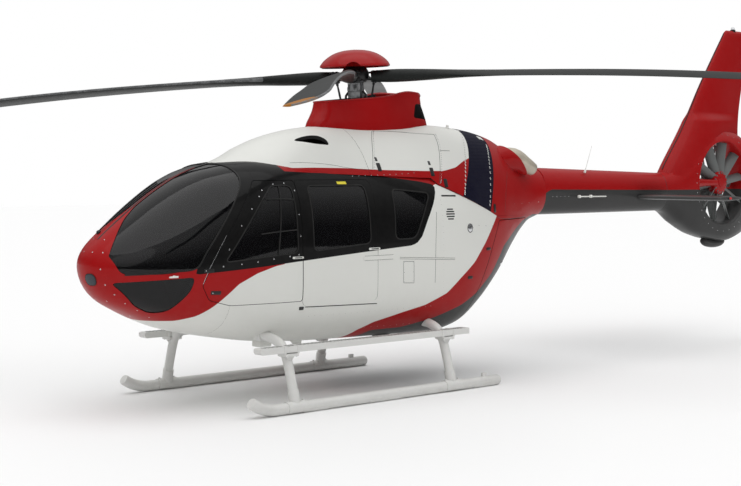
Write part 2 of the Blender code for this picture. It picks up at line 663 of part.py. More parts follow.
def add_exhausts(cowl_rear):
    for label, side in SIDES:
        pipe = new_part(f"exhaust_{label}", loft(pipe_rings(side, 0.0, 0), f"exhaust_{label}"), "exhaust")
        bore = pipe_rings(side, -EXHAUST_WALL, 3, 0.05)
        carve(pipe, new_cutter(f"exhaust_bore_{label}", loft(bore, f"exhaust_bore_{label}")))
        rings = pipe_rings(side, EXHAUST_ROOM + COLLAR_WALL, 1, 0.10)
        collar = new_cutter(f"exhaust_collar_{label}", loft(rings, f"exhaust_collar_{label}"))
        region = side_plate(COLLAR_SIDE, -1.0, 1.0, f"collar_region_{label}")
        combine(collar, new_cutter(f"collar_region_{label}", region), "INTERSECT", "MANIFOLD")
        combine(cowl_rear, collar, "UNION", "MANIFOLD")
        way = pipe_rings(side, EXHAUST_ROOM, 0, 0.10)
        carve(cowl_rear, new_cutter(f"exhaust_way_{label}", loft(way, f"exhaust_way_{label}")))


def airfoil(chord, thickness, points=5):
    """Half a dozen points a side of a symmetric section, from the leading edge at x 0 back to -chord."""
    upper = []
    for i in range(points + 1):
        t = (1 - math.cos(math.pi * i / points)) / 2
        half = 5 * thickness * (0.2969 * math.sqrt(t) - 0.126 * t - 0.3516 * t * t + 0.2843 * t ** 3
                                - 0.1015 * t ** 4)
        upper.append((-t * chord, half * chord + 0.0008))
    lower = [(x, -z) for x, z in upper]
    return upper[1:] + lower[:0:-1] + [(0.0, 0.0)]


ROOT_REACH = 0.16
BLADE_PITCH = ((ROOT_REACH, 8.0), (1.2, 10.0), (2.4, 12.5), (3.7, 14.0), (4.5, 10.0), (ROTOR_RADIUS, 5.0))


def blade_mesh(name):
    """One rotor blade along +X from the hub arm, leading edge towards +Y, drooping to its tip."""
    chords = ((ROOT_REACH, 0.10), (0.45, 0.11), (0.80, 0.15), (1.10, 0.24), (1.30, BLADE_CHORD),
              (4.55, BLADE_CHORD), (4.80, 0.265), (4.98, 0.215), (5.10, 0.15), (ROTOR_RADIUS, 0.07))
    depths = ((ROOT_REACH, 0.60), (0.45, 0.55), (0.80, 0.36), (1.10, 0.16), (1.30, 0.12), (4.90, 0.10),
              (ROTOR_RADIUS, 0.10))
    rings = []
    for reach in (ROOT_REACH, 0.45, 0.80, 1.05, 1.30, 2.2, 3.0, 3.6, 4.1, 4.55, 4.80, 4.98, 5.10, ROTOR_RADIUS):
        chord = curve_at(reach, chords)
        twist = math.radians(curve_at(reach, BLADE_PITCH))
        droop = BLADE_DROOP * (reach / ROTOR_RADIUS) ** 2.6
        lead = chord - 0.75 * BLADE_CHORD if reach > 4.5 else 0.25 * chord
        ring = []
        for back, up in airfoil(chord, curve_at(reach, depths)):
            y = lead + back
            ring.append(Vector((reach, y * math.cos(twist) - up * math.sin(twist),
                                y * math.sin(twist) + up * math.cos(twist) - droop)))
        rings.append(ring)
    return loft(rings, name)


MAST_RADIUS = 0.058
MAST_SPAN = (-0.44, -0.06 - GAP)


def add_rotor(gearbox):
    head = new_empty("rotor_head", (0.0, 0.0, HUB_Z), AIRFRAME, (0.0, ROTOR_TILT, 0.0))
    low, high = MAST_SPAN
    new_part("rotor_mast", cone(MAST_RADIUS, MAST_RADIUS, high - low, "rotor_mast"), "metal", head,
             (0.0, 0.0, (low + high) / 2))
    collar = new_cutter("gearbox_collar", cone(0.11, 0.09, 0.16, "gearbox_collar"), head,
                        location=(0.0, 0.0, low - GAP - 0.08))
    combine(gearbox, collar, "UNION")
    hub = new_part("rotor_hub", cone(0.11, 0.135, 0.16, "rotor_hub", 24), "dark_grey", head,
                   (0.0, 0.0, 0.02))
    for turn in range(2):
        arm = new_cutter(f"hub_arm_{turn}", box((-ROOT_REACH + GAP, -0.055, -0.035),
                                                (ROOT_REACH - GAP, 0.055, 0.035), f"hub_arm_{turn}"),
                         head, rotation=(0.0, 0.0, ROTOR_AZIMUTH + turn * math.pi / 2))
        combine(hub, arm, "UNION")
    for number in range(4):
        new_part(f"rotor_blade_{number + 1}", blade_mesh(f"rotor_blade_{number + 1}"), "blade", head,
                 rotation=(0.0, 0.0, ROTOR_AZIMUTH + number * math.pi / 2))
    profile = ((0.0, 0.268), (0.12, 0.257), (0.22, 0.226), (0.30, 0.174), (0.345, 0.125), (0.357, 0.095),
               (0.340, 0.095), (0.328, 0.119), (0.286, 0.160), (0.21, 0.208), (0.12, 0.236), (0.105, 0.236),
               (0.090, 0.1003), (0.0, 0.1003))
    new_part("hub_cap", turned(profile, "hub_cap", 24), "red", head)
    inner = MAST_RADIUS + GAP
    swash = ((inner, -0.27), (inner, -0.33), (0.14, -0.33), (0.15, -0.31), (0.14, -0.27))
    swashplate = new_part("swashplate", turned(swash, "swashplate", 24, True), "metal", head)
    for number in range(4):
        angle = ROTOR_AZIMUTH + number * math.pi / 2 + math.radians(20.0)
        x, y = 0.125 * math.cos(angle), 0.125 * math.sin(angle)
        rod = new_cutter(f"pitch_link_{number}", tube(((x, y, -0.29), (1.5 * x, 1.5 * y, -0.06)), 0.011,
                                                      f"pitch_link_{number}", 1), head)
        combine(swashplate, rod, "UNION")


def turned(profile, name, sides, closed=False):
    """A profile of (radius, height) points turned round Z."""

    def build(bm):
        points = [bm.verts.new((radius, 0.0, height)) for radius, height in profile]
        edges = [bm.edges.new(pair) for pair in zip(points, points[1:])]
        if closed:
            edges.append(bm.edges.new((points[-1], points[0])))
        bmesh.ops.spin(bm, geom=points + edges, cent=(0, 0, 0), axis=(0, 0, 1), angle=2 * math.pi,
                       steps=sides, use_merge=True, use_duplicate=False)
        bmesh.ops.remove_doubles(bm, verts=bm.verts, dist=1e-5)

    return mesh_from(build, name)


BOOM_STATIONS = (-2.6503, -3.2, -4.0, -4.9497)
BOOM_TOP = ((-2.65, 2.185), (-4.95, 2.118))
BOOM_BOTTOM = ((-2.65, 1.655), (-4.95, 1.655))
BOOM_HALF = ((-2.65, 0.220), (-4.95, 0.172))
FIN_BOTTOM = ((-4.95, 1.655), (-5.05, 1.635), (-5.35, 1.48), (-5.67, 1.345), (-5.95, 1.28), (-6.3, 1.24),
              (-6.6, 1.30), (-6.85, 1.45), (-7.0, 1.68), (-7.06, 1.90))
FIN_TOP = ((-4.95, 2.118), (-5.1, 2.125), (-5.25, 2.16), (-5.4, 2.26), (-5.6, 2.42), (-5.9, 2.60),
           (-6.2, 2.66), (-6.5, 2.63), (-6.8, 2.48), (-6.98, 2.25), (-7.06, 2.05))
FIN_HALF = ((-4.95, 0.172), (-5.2, 0.188), (-5.6, 0.215), (-6.1, 0.225), (-6.5, 0.20), (-6.8, 0.13),
            (-7.06, 0.035))
FIN_STATIONS = (-4.95, -5.05, -5.15, -5.27, -5.42, -5.60, -5.80, -6.00, -6.20, -6.45, -6.65, -6.82, -6.95,
                -7.02, -7.06)
FIN_LEAD = ((2.00, -4.965), (2.20, -5.105), (2.65, -5.465), (3.22, -5.845), (3.94, -6.38))
FIN_TRAIL = ((2.00, -6.85), (2.20, -6.80), (2.65, -6.68), (3.94, -6.95))
FIN_THICKNESS = ((2.00, 0.21), (2.30, 0.23), (2.65, 0.26), (2.76, 0.26), (2.88, 0.16), (3.94, 0.14))
FIN_TIP_Z = 3.94


def boom_ring(x, top, bottom, half, power):
    middle = (curve_at(x, top) + curve_at(x, bottom)) / 2
    height = (curve_at(x, top) - curve_at(x, bottom)) / 2
    width = curve_at(x, half)
    ring = []
    for i in range(20):
        angle = 2 * math.pi * i / 20
        across, rise = math.cos(angle), math.sin(angle)
        reach = ((abs(across) / width) ** power + (abs(rise) / height) ** power) ** (-1 / power)
        ring.append(Vector((x, across * reach, middle + rise * reach)))
    return ring


def add_tail():
    rings = [boom_ring(x, BOOM_TOP, BOOM_BOTTOM, BOOM_HALF, 2.3) for x in BOOM_STATIONS]
    boom = new_part("tail_boom", loft(rings, "tail_boom"), "red")
    rings = [boom_ring(x, FIN_TOP, FIN_BOTTOM, FIN_HALF, 2.3 if x > -5.0 else 3.4) for x in FIN_STATIONS]
    fin = new_part("tail_fin", loft(rings, "tail_fin"), "red")
    slices = []
    for height in (2.0, 2.3, 2.55, 2.70, 2.78, 2.88, 3.1, 3.5, 3.85, FIN_TIP_Z):
        lead, trail = curve_at(height, FIN_LEAD), curve_at(height, FIN_TRAIL)
        thick = curve_at(height, FIN_THICKNESS)
        slices.append([Vector((lead + back, up, height)) for back, up in airfoil(lead - trail, thick)])
    combine(fin, new_cutter("fin_blade", loft(slices, "fin_blade")), "UNION")
    mouth = ((DUCT_RADIUS, 0.15), (DUCT_RADIUS + 0.02, 0.19), (DUCT_RADIUS + 0.07, 0.22), (0.67, 0.25),
             (0.67, 0.6), (0.0, 0.6))
    profile = [(radius, -height) for radius, height in reversed(mouth)] + list(mouth)
    duct = new_cutter("fan_duct", turned(profile, "fan_duct", DUCT_SIDES), location=FAN_CENTRE,
                      rotation=(math.radians(90.0), 0.0, 0.0))
    cut(fin, duct)
    bumper = tube(((-5.93, 0.0, 1.262), (-6.02, 0.0, 1.228), (-6.15, 0.0, 1.212), (-6.28, 0.0, 1.220),
                   (-6.38, 0.0, 1.250)), 0.055, "tail_bumper")
    part = new_part("tail_bumper", bumper, "dark_grey")
    clear = [boom_ring(x, tuple((a, b + GAP) for a, b in FIN_TOP),
                       tuple((a, b - GAP) for a, b in FIN_BOTTOM),
                       tuple((a, b + GAP) for a, b in FIN_HALF), 2.3 if x > -5.0 else 3.4)
             for x in FIN_STATIONS]
    cut(part, new_cutter("fin_clear", loft(clear, "fin_clear")))
    add_stabiliser(boom)
    add_fan()


STAB_Z = 1.83


def stabiliser_mesh(name, reach, grow):
    """The tailplane from side to side, made thicker all round by a growth."""
    rings = []
    for y in (-reach, -0.7, 0.0, 0.7, reach):
        lead = -4.335 - 0.05 * abs(y)
        outline = inset_outline(airfoil(0.52, 0.11), -grow)
        rings.append([Vector((lead + back, y, STAB_Z + up)) for back, up in outline])
    return loft(rings, name)


def add_stabiliser(boom):
    new_part("stabiliser", stabiliser_mesh("stabiliser", 1.325, 0.0), "dark_grey")
    cut(boom, new_cutter("stabiliser_slot", stabiliser_mesh("stabiliser_slot", 1.4, GAP)))


def add_fan():
    spin = new_empty("fan_axis", FAN_CENTRE, AIRFRAME, (math.radians(-90.0), 0.0, 0.0))
    fan = new_part("fan_rotor", cone(0.12, 0.13, 0.10, "fan_rotor", 24), "dark_grey", spin, (0.0, 0.0, -0.06))
    for number in range(10):
        angle = 2 * math.pi * number / 10
        rings = []
        for reach, twist in ((0.10, 40.0), (0.30, 28.0), (FAN_RADIUS, 16.0)):
            lean = math.radians(twist)
            ring = []
            for back, up in airfoil(0.10, 0.14, 3):
                y = 0.045 + back
                ring.append(Vector((reach, y * math.cos(lean) - up * math.sin(lean),
                                    y * math.sin(lean) + up * math.cos(lean))))
            rings.append(ring)
        blade = new_cutter(f"fan_blade_{number}", loft(rings, f"fan_blade_{number}"), spin, (0.0, 0.0, -0.06),
                           (0.0, 0.0, angle))
        combine(fan, blade, "UNION")
    stator = new_part("fan_stator", cone(0.15, 0.14, 0.12, "fan_stator", 24), "red", spin,
                      (0.0, 0.0, 0.085))
    low, high = -0.01 + GAP, 0.05
    combine(stator, new_cutter("fan_bearing", cone(0.06, 0.06, high - low, "fan_bearing", 16), spin,
                               (0.0, 0.0, (low + high) / 2)), "UNION")
    vane_reach = DUCT_RADIUS * math.cos(math.pi / DUCT_SIDES) - 2 * GAP
    for number in range(5):
        angle = math.pi * number / 5 + math.radians(9.0)
        sheet = box((-vane_reach, -0.008, -0.055), (vane_reach, 0.008, 0.055), f"stator_vane_{number}")
        vane = new_cutter(f"stator_vane_{number}", sheet, spin, (0.0, 0.0, 0.085), (0.0, 0.0, angle))
        combine(stator, vane, "UNION")
    arm = box((FAN_CENTRE[0] - 0.10, 0.13, FAN_CENTRE[2] - 0.05),
              (FAN_CENTRE[0] + vane_reach - 0.004, 0.17, FAN_CENTRE[2] + 0.05), "fan_drive_arm")
    combine(stator, new_cutter("fan_drive_arm", arm), "UNION")


def skid_path(side):
    y = side * SKID_TRACK / 2
    path = [(-1.035, y, SKID_RADIUS), (0.5, y, SKID_RADIUS), (1.82, y, SKID_RADIUS)]
    for step in range(1, 6):
        angle = math.radians(9.0 * step)
        path.append((1.82 + 0.42 * math.sin(angle), y, SKID_RADIUS + 0.42 * (1 - math.cos(angle)) * 0.75))
    return path


def leg_path(x):
    half = ((0.990, 0.085), (0.965, 0.20), (0.92, 0.36), (0.87, 0.50), (0.81, 0.585), (0.72, 0.632),
            (0.60, 0.655), (0.45, 0.665))
    left = [(x, y, z) for y, z in half]
    return left + [(x, -y, z) for y, z in reversed(half)]


def add_landing_gear(shells):
    legs = []
    for label, x in (("front", FRONT_LEG_X), ("rear", REAR_LEG_X)):
        leg = new_part(f"cross_tube_{label}", tube(leg_path(x), LEG_RADIUS, f"cross_tube_{label}"), "gear")
        room = tube(leg_path(x), LEG_RADIUS + 2 * GAP, f"leg_clear_{label}")
        clear = new_cutter(f"leg_clear_{label}", room)
        for shell in shells:
            carve(shell, clear)
        legs.append((leg, clear))
    for label, side in SIDES:
        new_part(f"skid_{label}", tube(skid_path(side), SKID_RADIUS, f"skid_{label}"), "gear")
        room = tube(skid_path(side), SKID_RADIUS + GAP, f"skid_clear_{label}")
        clear = new_cutter(f"skid_clear_{label}", room)
        low, high = sorted((side * 0.845, side * 0.955))
        plank = box((-0.67, low, 0.54), (1.97, high, 0.60), f"step_{label}")
        step = new_part(f"step_{label}", plank, "gear")
        for leg, leg_clear in legs:
            cut(leg, clear)
            cut(step, leg_clear)


def main():
    nose, cabin, rear = add_fuselage()
    add_floor()
    add_cabin_fittings()
    add_cowls()
    add_exhausts(bpy.data.objects["cowl_rear"])
    add_pylon()
    add_engines()
    add_rotor(add_gearbox())
    add_tail()
    add_landing_gear((cabin,))


main()
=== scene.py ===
"""A light twin-engined helicopter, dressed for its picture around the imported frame.

Metres. Lengths are written from the foot of the rotor mast on the ground, +X to the nose, +Y to port
and +Z up, and every finished piece is then moved by MAST_X into the frame's own place.
"""
import math

import bmesh
import bpy
import numpy as np
from mathutils import Matrix, Vector


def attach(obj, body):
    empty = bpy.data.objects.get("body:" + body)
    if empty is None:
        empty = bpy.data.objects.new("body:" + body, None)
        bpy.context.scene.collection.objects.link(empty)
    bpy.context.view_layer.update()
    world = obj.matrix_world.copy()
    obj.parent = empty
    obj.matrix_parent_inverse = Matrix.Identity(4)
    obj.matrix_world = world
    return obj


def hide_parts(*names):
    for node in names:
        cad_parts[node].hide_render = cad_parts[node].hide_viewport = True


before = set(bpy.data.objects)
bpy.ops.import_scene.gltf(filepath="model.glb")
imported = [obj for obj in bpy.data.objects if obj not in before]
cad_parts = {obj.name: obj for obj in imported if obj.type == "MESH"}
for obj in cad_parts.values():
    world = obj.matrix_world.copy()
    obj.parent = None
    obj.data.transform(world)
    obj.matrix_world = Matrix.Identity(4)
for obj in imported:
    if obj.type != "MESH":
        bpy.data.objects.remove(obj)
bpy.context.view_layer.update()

MAST_X = 1.6122
HOME = Matrix.Translation((MAST_X, 0.0, 0.0))
SIDES = (("left", 1.0), ("right", -1.0))

# The fuselage's own curves: (x, value)
ROOF_Z = ((3.16, 1.40), (3.12, 1.47), (3.0, 1.585), (2.8, 1.74), (2.6, 1.885), (2.4, 2.01), (2.2, 2.115),
          (2.0, 2.19), (1.8, 2.235), (1.5, 2.26), (0.5, 2.26), (-0.8, 2.25), (-1.6, 2.22), (-2.65, 2.17))
COWL_Z = ((1.80, 2.235), (1.6, 2.31), (1.4, 2.41), (1.1, 2.51), (0.75, 2.575), (0.3, 2.615), (-0.3, 2.635),
          (-0.87, 2.63), (-1.3, 2.60), (-1.7, 2.53), (-2.0, 2.42), (-2.3, 2.275), (-2.65, 2.18))
BELLY_Z = ((3.16, 1.26), (3.12, 1.16), (3.0, 1.02), (2.8, 0.91), (2.6, 0.82), (2.4, 0.745), (2.2, 0.69),
           (1.9, 0.63), (1.5, 0.57), (1.0, 0.535), (0.0, 0.51), (-0.7, 0.50), (-0.95, 0.53), (-1.25, 0.66),
           (-1.6, 0.90), (-1.9, 1.16), (-2.2, 1.42), (-2.45, 1.58), (-2.65, 1.64))
HALF_WIDTH = ((3.16, 0.07), (3.12, 0.19), (3.0, 0.34), (2.8, 0.48), (2.6, 0.58), (2.3, 0.68), (2.0, 0.735),
              (1.6, 0.775), (1.2, 0.785), (-0.4, 0.785), (-0.8, 0.76), (-1.2, 0.69), (-1.6, 0.57),
              (-2.0, 0.40), (-2.4, 0.265), (-2.65, 0.225))
WIDEST_Z = ((3.16, 1.33), (2.8, 1.30), (2.0, 1.25), (0.0, 1.22), (-0.8, 1.25), (-1.4, 1.45), (-2.0, 1.70),
            (-2.65, 1.90))
ROOF_SQUARE = ((3.16, 2.0), (2.6, 2.2), (2.0, 2.8), (1.4, 3.4), (-0.8, 3.4), (-1.6, 3.0), (-2.65, 2.2))
COWL_SQUARE = ((1.8, 2.0), (0.4, 2.05), (-0.4, 2.2), (-1.0, 2.6), (-1.8, 2.5), (-2.65, 2.2))
BELLY_SQUARE = ((3.16, 2.0), (2.6, 2.3), (2.0, 2.8), (1.4, 3.2), (-0.6, 3.2), (-1.4, 2.6), (-2.65, 2.2))
BODY = (ROOF_Z, ROOF_SQUARE)
COWL = (COWL_Z, COWL_SQUARE)

WALL = 0.050
DOOR_WALL = 0.042
GLASS_OUT = 0.006
GLASS_IN = 0.014
COWL_WALL = 0.030
DOOR_GAP = 0.005
RUN_GAP = 0.0075
TAIL_JOINT_X = -2.65
SILL_Z = 0.93
CABIN_REAR_X = -0.435

# Side outlines: (x, z)
NOSE_SEAM = ((1.748, 2.60), (1.748, 2.03), (2.05, 1.50), (2.10, 1.05), (2.10, 0.20))
FRONT_DOOR = ((1.765, 2.073), (2.124, 1.60), (2.296, 1.32), (2.375, 1.16), (2.30, 1.03), (2.10, 0.975),
              (1.345, 0.975), (1.345, 2.073))
FRONT_DOOR_PANE = ((1.62, 2.03), (2.17, 1.36), (1.395, 1.42), (1.395, 2.03))
SLIDING_DOOR = ((1.337, 2.075), (1.337, SILL_Z), (0.415, SILL_Z), (0.415, 2.075))
SLIDING_PANE = ((1.21, 2.025), (1.21, 1.425), (0.50, 1.475), (0.50, 2.025))
REAR_PANE = ((0.16, 1.985), (0.18, 1.50), (-0.09, 1.50), (-0.34, 1.94))
WINDSHIELD = ((3.07, 1.44), (3.005, 1.27), (2.70, 1.27), (2.405, 1.31), (2.17, 1.66), (1.87, 2.06),
              (1.84, 2.40), (3.12, 2.40))
# The nose between the windshields in plan: (x, half width), narrowing back to the centre post
NOSE_BRIDGE = ((3.40, 0.26), (3.08, 0.24), (3.00, 0.204), (2.87, 0.119), (2.785, 0.066), (2.64, 0.018))
CHIN_PANE = ((3.06, 1.20), (2.44, 1.24), (2.47, 1.12), (2.60, 0.93), (2.70, 0.915), (2.84, 0.99))
COWL_LINE = ((1.84, 2.17), (-0.42, 2.085), (-0.50, 2.02), (-1.41, 1.687), (-2.80, 1.663))
CLAMSHELL = ((-1.47, 1.635), (-0.86, 0.53), (-0.86, 0.40), (-2.26, 0.40), (-2.26, 1.635))

# Paint edges in side view: (x, z)
WHITE_SIDE = ((1.55, 1.40), (1.50, 1.330), (1.65, 1.307), (1.841, 1.252), (2.034, 1.163), (2.161, 1.052),
              (2.265, 0.957), (2.359, 0.886), (2.484, 0.842), (2.62, 0.835), (2.80, 0.80), (2.80, 0.3),
              (0.62, 0.3), (0.58, 0.56), (0.533, 0.636), (0.382, 0.708), (0.03, 0.785), (-0.25, 0.838),
              (-0.539, 0.941), (-0.743, 1.081), (-0.974, 1.231), (-1.179, 1.426), (-1.411, 1.687),
              (-0.50, 2.012), (-0.473, 2.025))
BLACK_BAND = ((2.435, 1.262), (2.103, 1.285), (1.81, 1.305), (1.435, 1.335), (1.019, 1.364), (0.401, 1.406),
              (-0.02, 1.432), (-0.10, 1.45), (-0.175, 1.512), (-0.266, 1.676), (-0.379, 1.85), (-0.44, 1.97),
              (-0.44, 2.02), (-0.269, 2.052), (0.225, 2.108), (0.717, 2.133), (1.079, 2.143), (1.374, 2.158),
              (1.40, 2.6), (2.02, 2.6), (1.99, 2.17), (1.90, 2.06), (2.19, 1.66), (2.425, 1.31))
GREY_BELLY = ((0.42, 0.3), (0.40, 0.56), (0.336, 0.62), (-0.052, 0.622), (-0.421, 0.692), (-0.805, 0.801),
              (-1.053, 0.907), (-1.338, 1.085), (-1.601, 1.376), (-1.878, 1.502), (-2.138, 1.611),
              (-2.45, 1.67), (-2.60, 1.88), (-2.75, 1.94), (-4.97, 1.91), (-7.4, 1.90), (-7.4, 0.3))
WHITE_COWL = ((2.3, 2.0), (1.42, 2.17), (1.339, 2.185), (1.019, 2.19), (0.652, 2.185), (0.161, 2.166),
              (-0.372, 2.155), (-0.619, 2.155), (-0.80, 2.19), (-0.93, 2.25), (-1.28, 2.35), (-1.30, 2.50),
              (-1.50, 2.56), (-1.52, 2.9), (2.3, 2.9))


# Shapes
def values_at(x, knots):
    """A smooth curve through the knots that keeps between neighbouring values, for one x or many."""
    places = np.array(sorted(knots), float)
    x = np.clip(np.asarray(x, float), places[0, 0], places[-1, 0])
    steps = np.diff(places[:, 0])
    slopes = np.diff(places[:, 1]) / steps
    bends = np.zeros(len(places))
    bends[0], bends[-1] = slopes[0], slopes[-1]
    for i, (a, b) in enumerate(zip(slopes, slopes[1:])):
        bends[i + 1] = 0.0 if a * b <= 0 else 2 * a * b / (a + b)
    i = np.clip(np.searchsorted(places[:, 0], x, side="right") - 1, 0, len(steps) - 1)
    t = (x - places[i, 0]) / steps[i]
    return ((1 + 2 * t) * (1 - t) ** 2 * places[i, 1] + t * (1 - t) ** 2 * steps[i] * bends[i]
            + t * t * (3 - 2 * t) * places[i + 1, 1] + t * t * (t - 1) * steps[i] * bends[i + 1])


def value_at(x, knots):
    return float(values_at(x, knots))


def hull(xs, skin, inset=0.0):
    """Middle height, half width, rise, drop and the two powers of the fuselage's sections at each x."""
    top, square = skin
    middle = values_at(xs, WIDEST_Z)
    half = values_at(xs, HALF_WIDTH)
    draw = np.minimum(inset, half * 0.6)
    return (middle, half - draw, values_at(xs, top) - middle - draw, middle - values_at(xs, BELLY_Z) - draw,
            values_at(xs, square), values_at(xs, BELLY_SQUARE))


def stations(front, back, step=0.03):
    """Even stations, closer together towards the tip of the nose."""
    xs = list(np.linspace(front, back, max(int((front - back) / step), 2) + 1))
    if front > 3.1:
        xs = [3.16, 3.1595, 3.158, 3.155, 3.15, 3.142, 3.132, 3.12, 3.105, 3.09, 3.07, 3.05, 3.025] + \
            [x for x in xs if x < 3.0]
    return np.array(xs)


def skin_mesh(skin, inset, front=3.16, back=TAIL_JOINT_X, around=120, step=0.03):
    """The fuselage, or the hood over its roof, as a closed body drawn in by an inset."""
    xs = stations(front, back, step)
    xs = np.clip(xs, back + max(inset, 0.0) * (back <= TAIL_JOINT_X),
                 front - max(inset, 0.0) * (front > 3.1))
    xs = np.unique(np.round(xs, 5))[::-1]
    middle, half, up, down, n_up, n_down = (v[:, None] for v in hull(xs, skin, inset))
    angle = np.linspace(0, 2 * np.pi, around, endpoint=False)[None, :]
    across, rise = np.cos(angle), np.sin(angle)
    height = np.where(rise > 0, up, down)
    power = np.where(rise > 0, n_up, n_down)
    reach = ((np.abs(across) / half) ** power + (np.abs(rise) / height) ** power) ** (-1 / power)
    if front > 3.1:
        near = np.clip((xs - (3.148 - max(inset, 0.0))) / 0.012, 0, 1)[:, None]
        reach = reach * np.sqrt(np.maximum(1 - near ** 2, 0.0004))
    rings = np.stack([np.broadcast_to(xs[:, None], reach.shape), across * reach, middle + rise * reach],
                     axis=2)
    return ring_mesh(rings)


def ring_mesh(rings, closed=True, loop=False):
    """A mesh through rings of equal point counts, with its ends closed or joined in a loop."""
    rings = np.asarray(rings, float)
    count, around = rings.shape[:2]
    rows = np.arange(count if loop else count - 1)
    a = (rows[:, None] * around + np.arange(around)[None, :]).ravel()
    b = (rows[:, None] * around + (np.arange(around)[None, :] + 1) % around).ravel()
    c = ((rows[:, None] + 1) % count * around + (np.arange(around)[None, :] + 1) % around).ravel()
    d = ((rows[:, None] + 1) % count * around + np.arange(around)[None, :]).ravel()
    faces = np.stack([a, d, c, b], axis=1).tolist()
    if closed and not loop:
        faces.append(list(range(around)))
        faces.append(list(range((count - 1) * around, count * around))[::-1])
    return poly_mesh(rings.reshape(-1, 3).tolist(), faces)


def poly_mesh(points, faces, merge=0.0):
    """A mesh of points and faces with its faces turned outwards."""
    mesh = bpy.data.meshes.new("shape")
    mesh.from_pydata(points, [], faces)
    bm = bmesh.new()
    bm.from_mesh(mesh)
    if merge:
        bmesh.ops.remove_doubles(bm, verts=bm.verts, dist=merge)
    bmesh.ops.recalc_face_normals(bm, faces=bm.faces)
    bm.to_mesh(mesh)
    bm.free()
    return mesh


def mesh_of(build):
    """The mesh that a function leaves in an empty bmesh, faces outwards."""
    bm = bmesh.new()
    build(bm)
    bmesh.ops.recalc_face_normals(bm, faces=bm.faces)
    mesh = bpy.data.meshes.new("shape")
    bm.to_mesh(mesh)
    bm.free()
    return mesh


def block(low, high, bevel=0.0, segments=2):
    """A box between two corners with rounded edges."""
    low, high = Vector(low), Vector(high)

    def build(bm):
        bmesh.ops.create_cube(bm, size=1.0)
        bmesh.ops.scale(bm, vec=high - low, verts=bm.verts)
        bmesh.ops.translate(bm, vec=(low + high) / 2, verts=bm.verts)
        if bevel:
            bmesh.ops.bevel(bm, geom=bm.edges[:], offset=bevel, segments=segments, profile=0.7,
                            affect="EDGES")

    return mesh_of(build)


def turned(profile, sides=64, closed=False):
    """A profile of (radius, height) points turned round Z; a radius of 0 closes on the axis."""
    angles = np.linspace(0, 2 * np.pi, sides, endpoint=False)
    points, rows = [], []
    for radius, height in profile:
        if radius < 1e-6:
            rows.append([len(points)] * sides)
            points.append((0.0, 0.0, height))
        else:
            rows.append(list(range(len(points), len(points) + sides)))
            points += [(radius * math.cos(a), radius * math.sin(a), height) for a in angles]
    faces = []
    pairs = list(zip(rows, rows[1:])) + ([(rows[-1], rows[0])] if closed else [])
    for low, high in pairs:
        for i in range(sides):
            j = (i + 1) % sides
            corner = [low[i], low[j], high[j], high[i]]
            kept = [v for k, v in enumerate(corner) if v != corner[k - 1]]
            if len(kept) > 2:
                faces.append(kept)
    return poly_mesh(points, faces)


def prism(outline, low, high):
    """An outline in x and z, solid between two y values."""
    count = len(outline)
    points = [(x, low, z) for x, z in outline] + [(x, high, z) for x, z in outline]
    faces = [[i, (i + 1) % count, count + (i + 1) % count, count + i] for i in range(count)]
    faces += [list(range(count))[::-1], list(range(count, 2 * count))]
    return poly_mesh(points, faces)


def side_prism(outline, side, inner=0.3, reach=1.2):
    low, high = sorted((side * inner, side * reach))
    return prism(outline, low, high)


def grown(outline, distance):
    """A closed outline moved outwards by a distance."""
    points = [Vector(p) for p in outline]
    area = sum(a.x * b.y - b.x * a.y for a, b in zip(points, points[1:] + points[:1]))
    turn = -1.0 if area > 0 else 1.0
    moved = []
    for i, here in enumerate(points):
        before = (here - points[i - 1]).normalized()
        after = (points[(i + 1) % len(points)] - here).normalized()
        out_before = Vector((-before.y, before.x)) * turn
        out_after = Vector((-after.y, after.x)) * turn
        middle = (out_before + out_after).normalized()
        moved.append(here + middle * (distance / max(middle.dot(out_after), 0.3)))
    return [tuple(p) for p in moved]


def rounded(outline, radius, steps=8):
    """A closed outline with each corner replaced by a curve."""
    points = [Vector(p) for p in outline]
    smooth = []
    for i, here in enumerate(points):
        back = points[i - 1] - here
        ahead = points[(i + 1) % len(points)] - here
        reach = min(radius, back.length * 0.45, ahead.length * 0.45)
        start = here + back.normalized() * reach
        end = here + ahead.normalized() * reach
        for k in range(steps + 1):
            t = k / steps
            smooth.append(tuple(start * (1 - t) ** 2 + here * 2 * t * (1 - t) + end * t * t))
    return smooth


def work_object(mesh):
    made = bpy.data.objects.new("work", mesh)
    bpy.context.scene.collection.objects.link(made)
    return made


def finished(work):
    """The plain mesh that a work object's modifiers make; the object goes."""
    made = bpy.data.meshes.new_from_object(work.evaluated_get(bpy.context.evaluated_depsgraph_get()))
    bpy.data.objects.remove(work)
    return made


def shaped(mesh, *steps):
    """A mesh cut, joined or limited by other meshes: each step is (operation, mesh)."""
    work = work_object(mesh)
    tools = []
    for operation, other in steps:
        tool = work_object(other)
        tool.hide_render = True
        tools.append(tool)
        modifier = work.modifiers.new("cut", "BOOLEAN")
        modifier.operation = operation
        modifier.solver = "MANIFOLD"
        modifier.object = tool
    bpy.context.view_layer.update()
    made = finished(work)
    for tool in tools:
        bpy.data.objects.remove(tool)
    return made


def joined(*meshes):
    """Several meshes as one, side by side."""
    bm = bmesh.new()
    for mesh in meshes:
        bm.from_mesh(mesh)
    made = bpy.data.meshes.new("shape")
    bm.to_mesh(made)
    bm.free()
    return made


def placed(mesh, matrix):
    """A copy of a mesh, moved; a mirroring matrix keeps its faces outwards."""
    made = mesh.copy()
    made.transform(matrix)
    if matrix.determinant() < 0:
        made.flip_normals()
    return made


def smoothed(mesh, degrees=32.0):
    mesh.shade_smooth()
    mesh.set_sharp_from_angle(angle=math.radians(degrees))
    return mesh


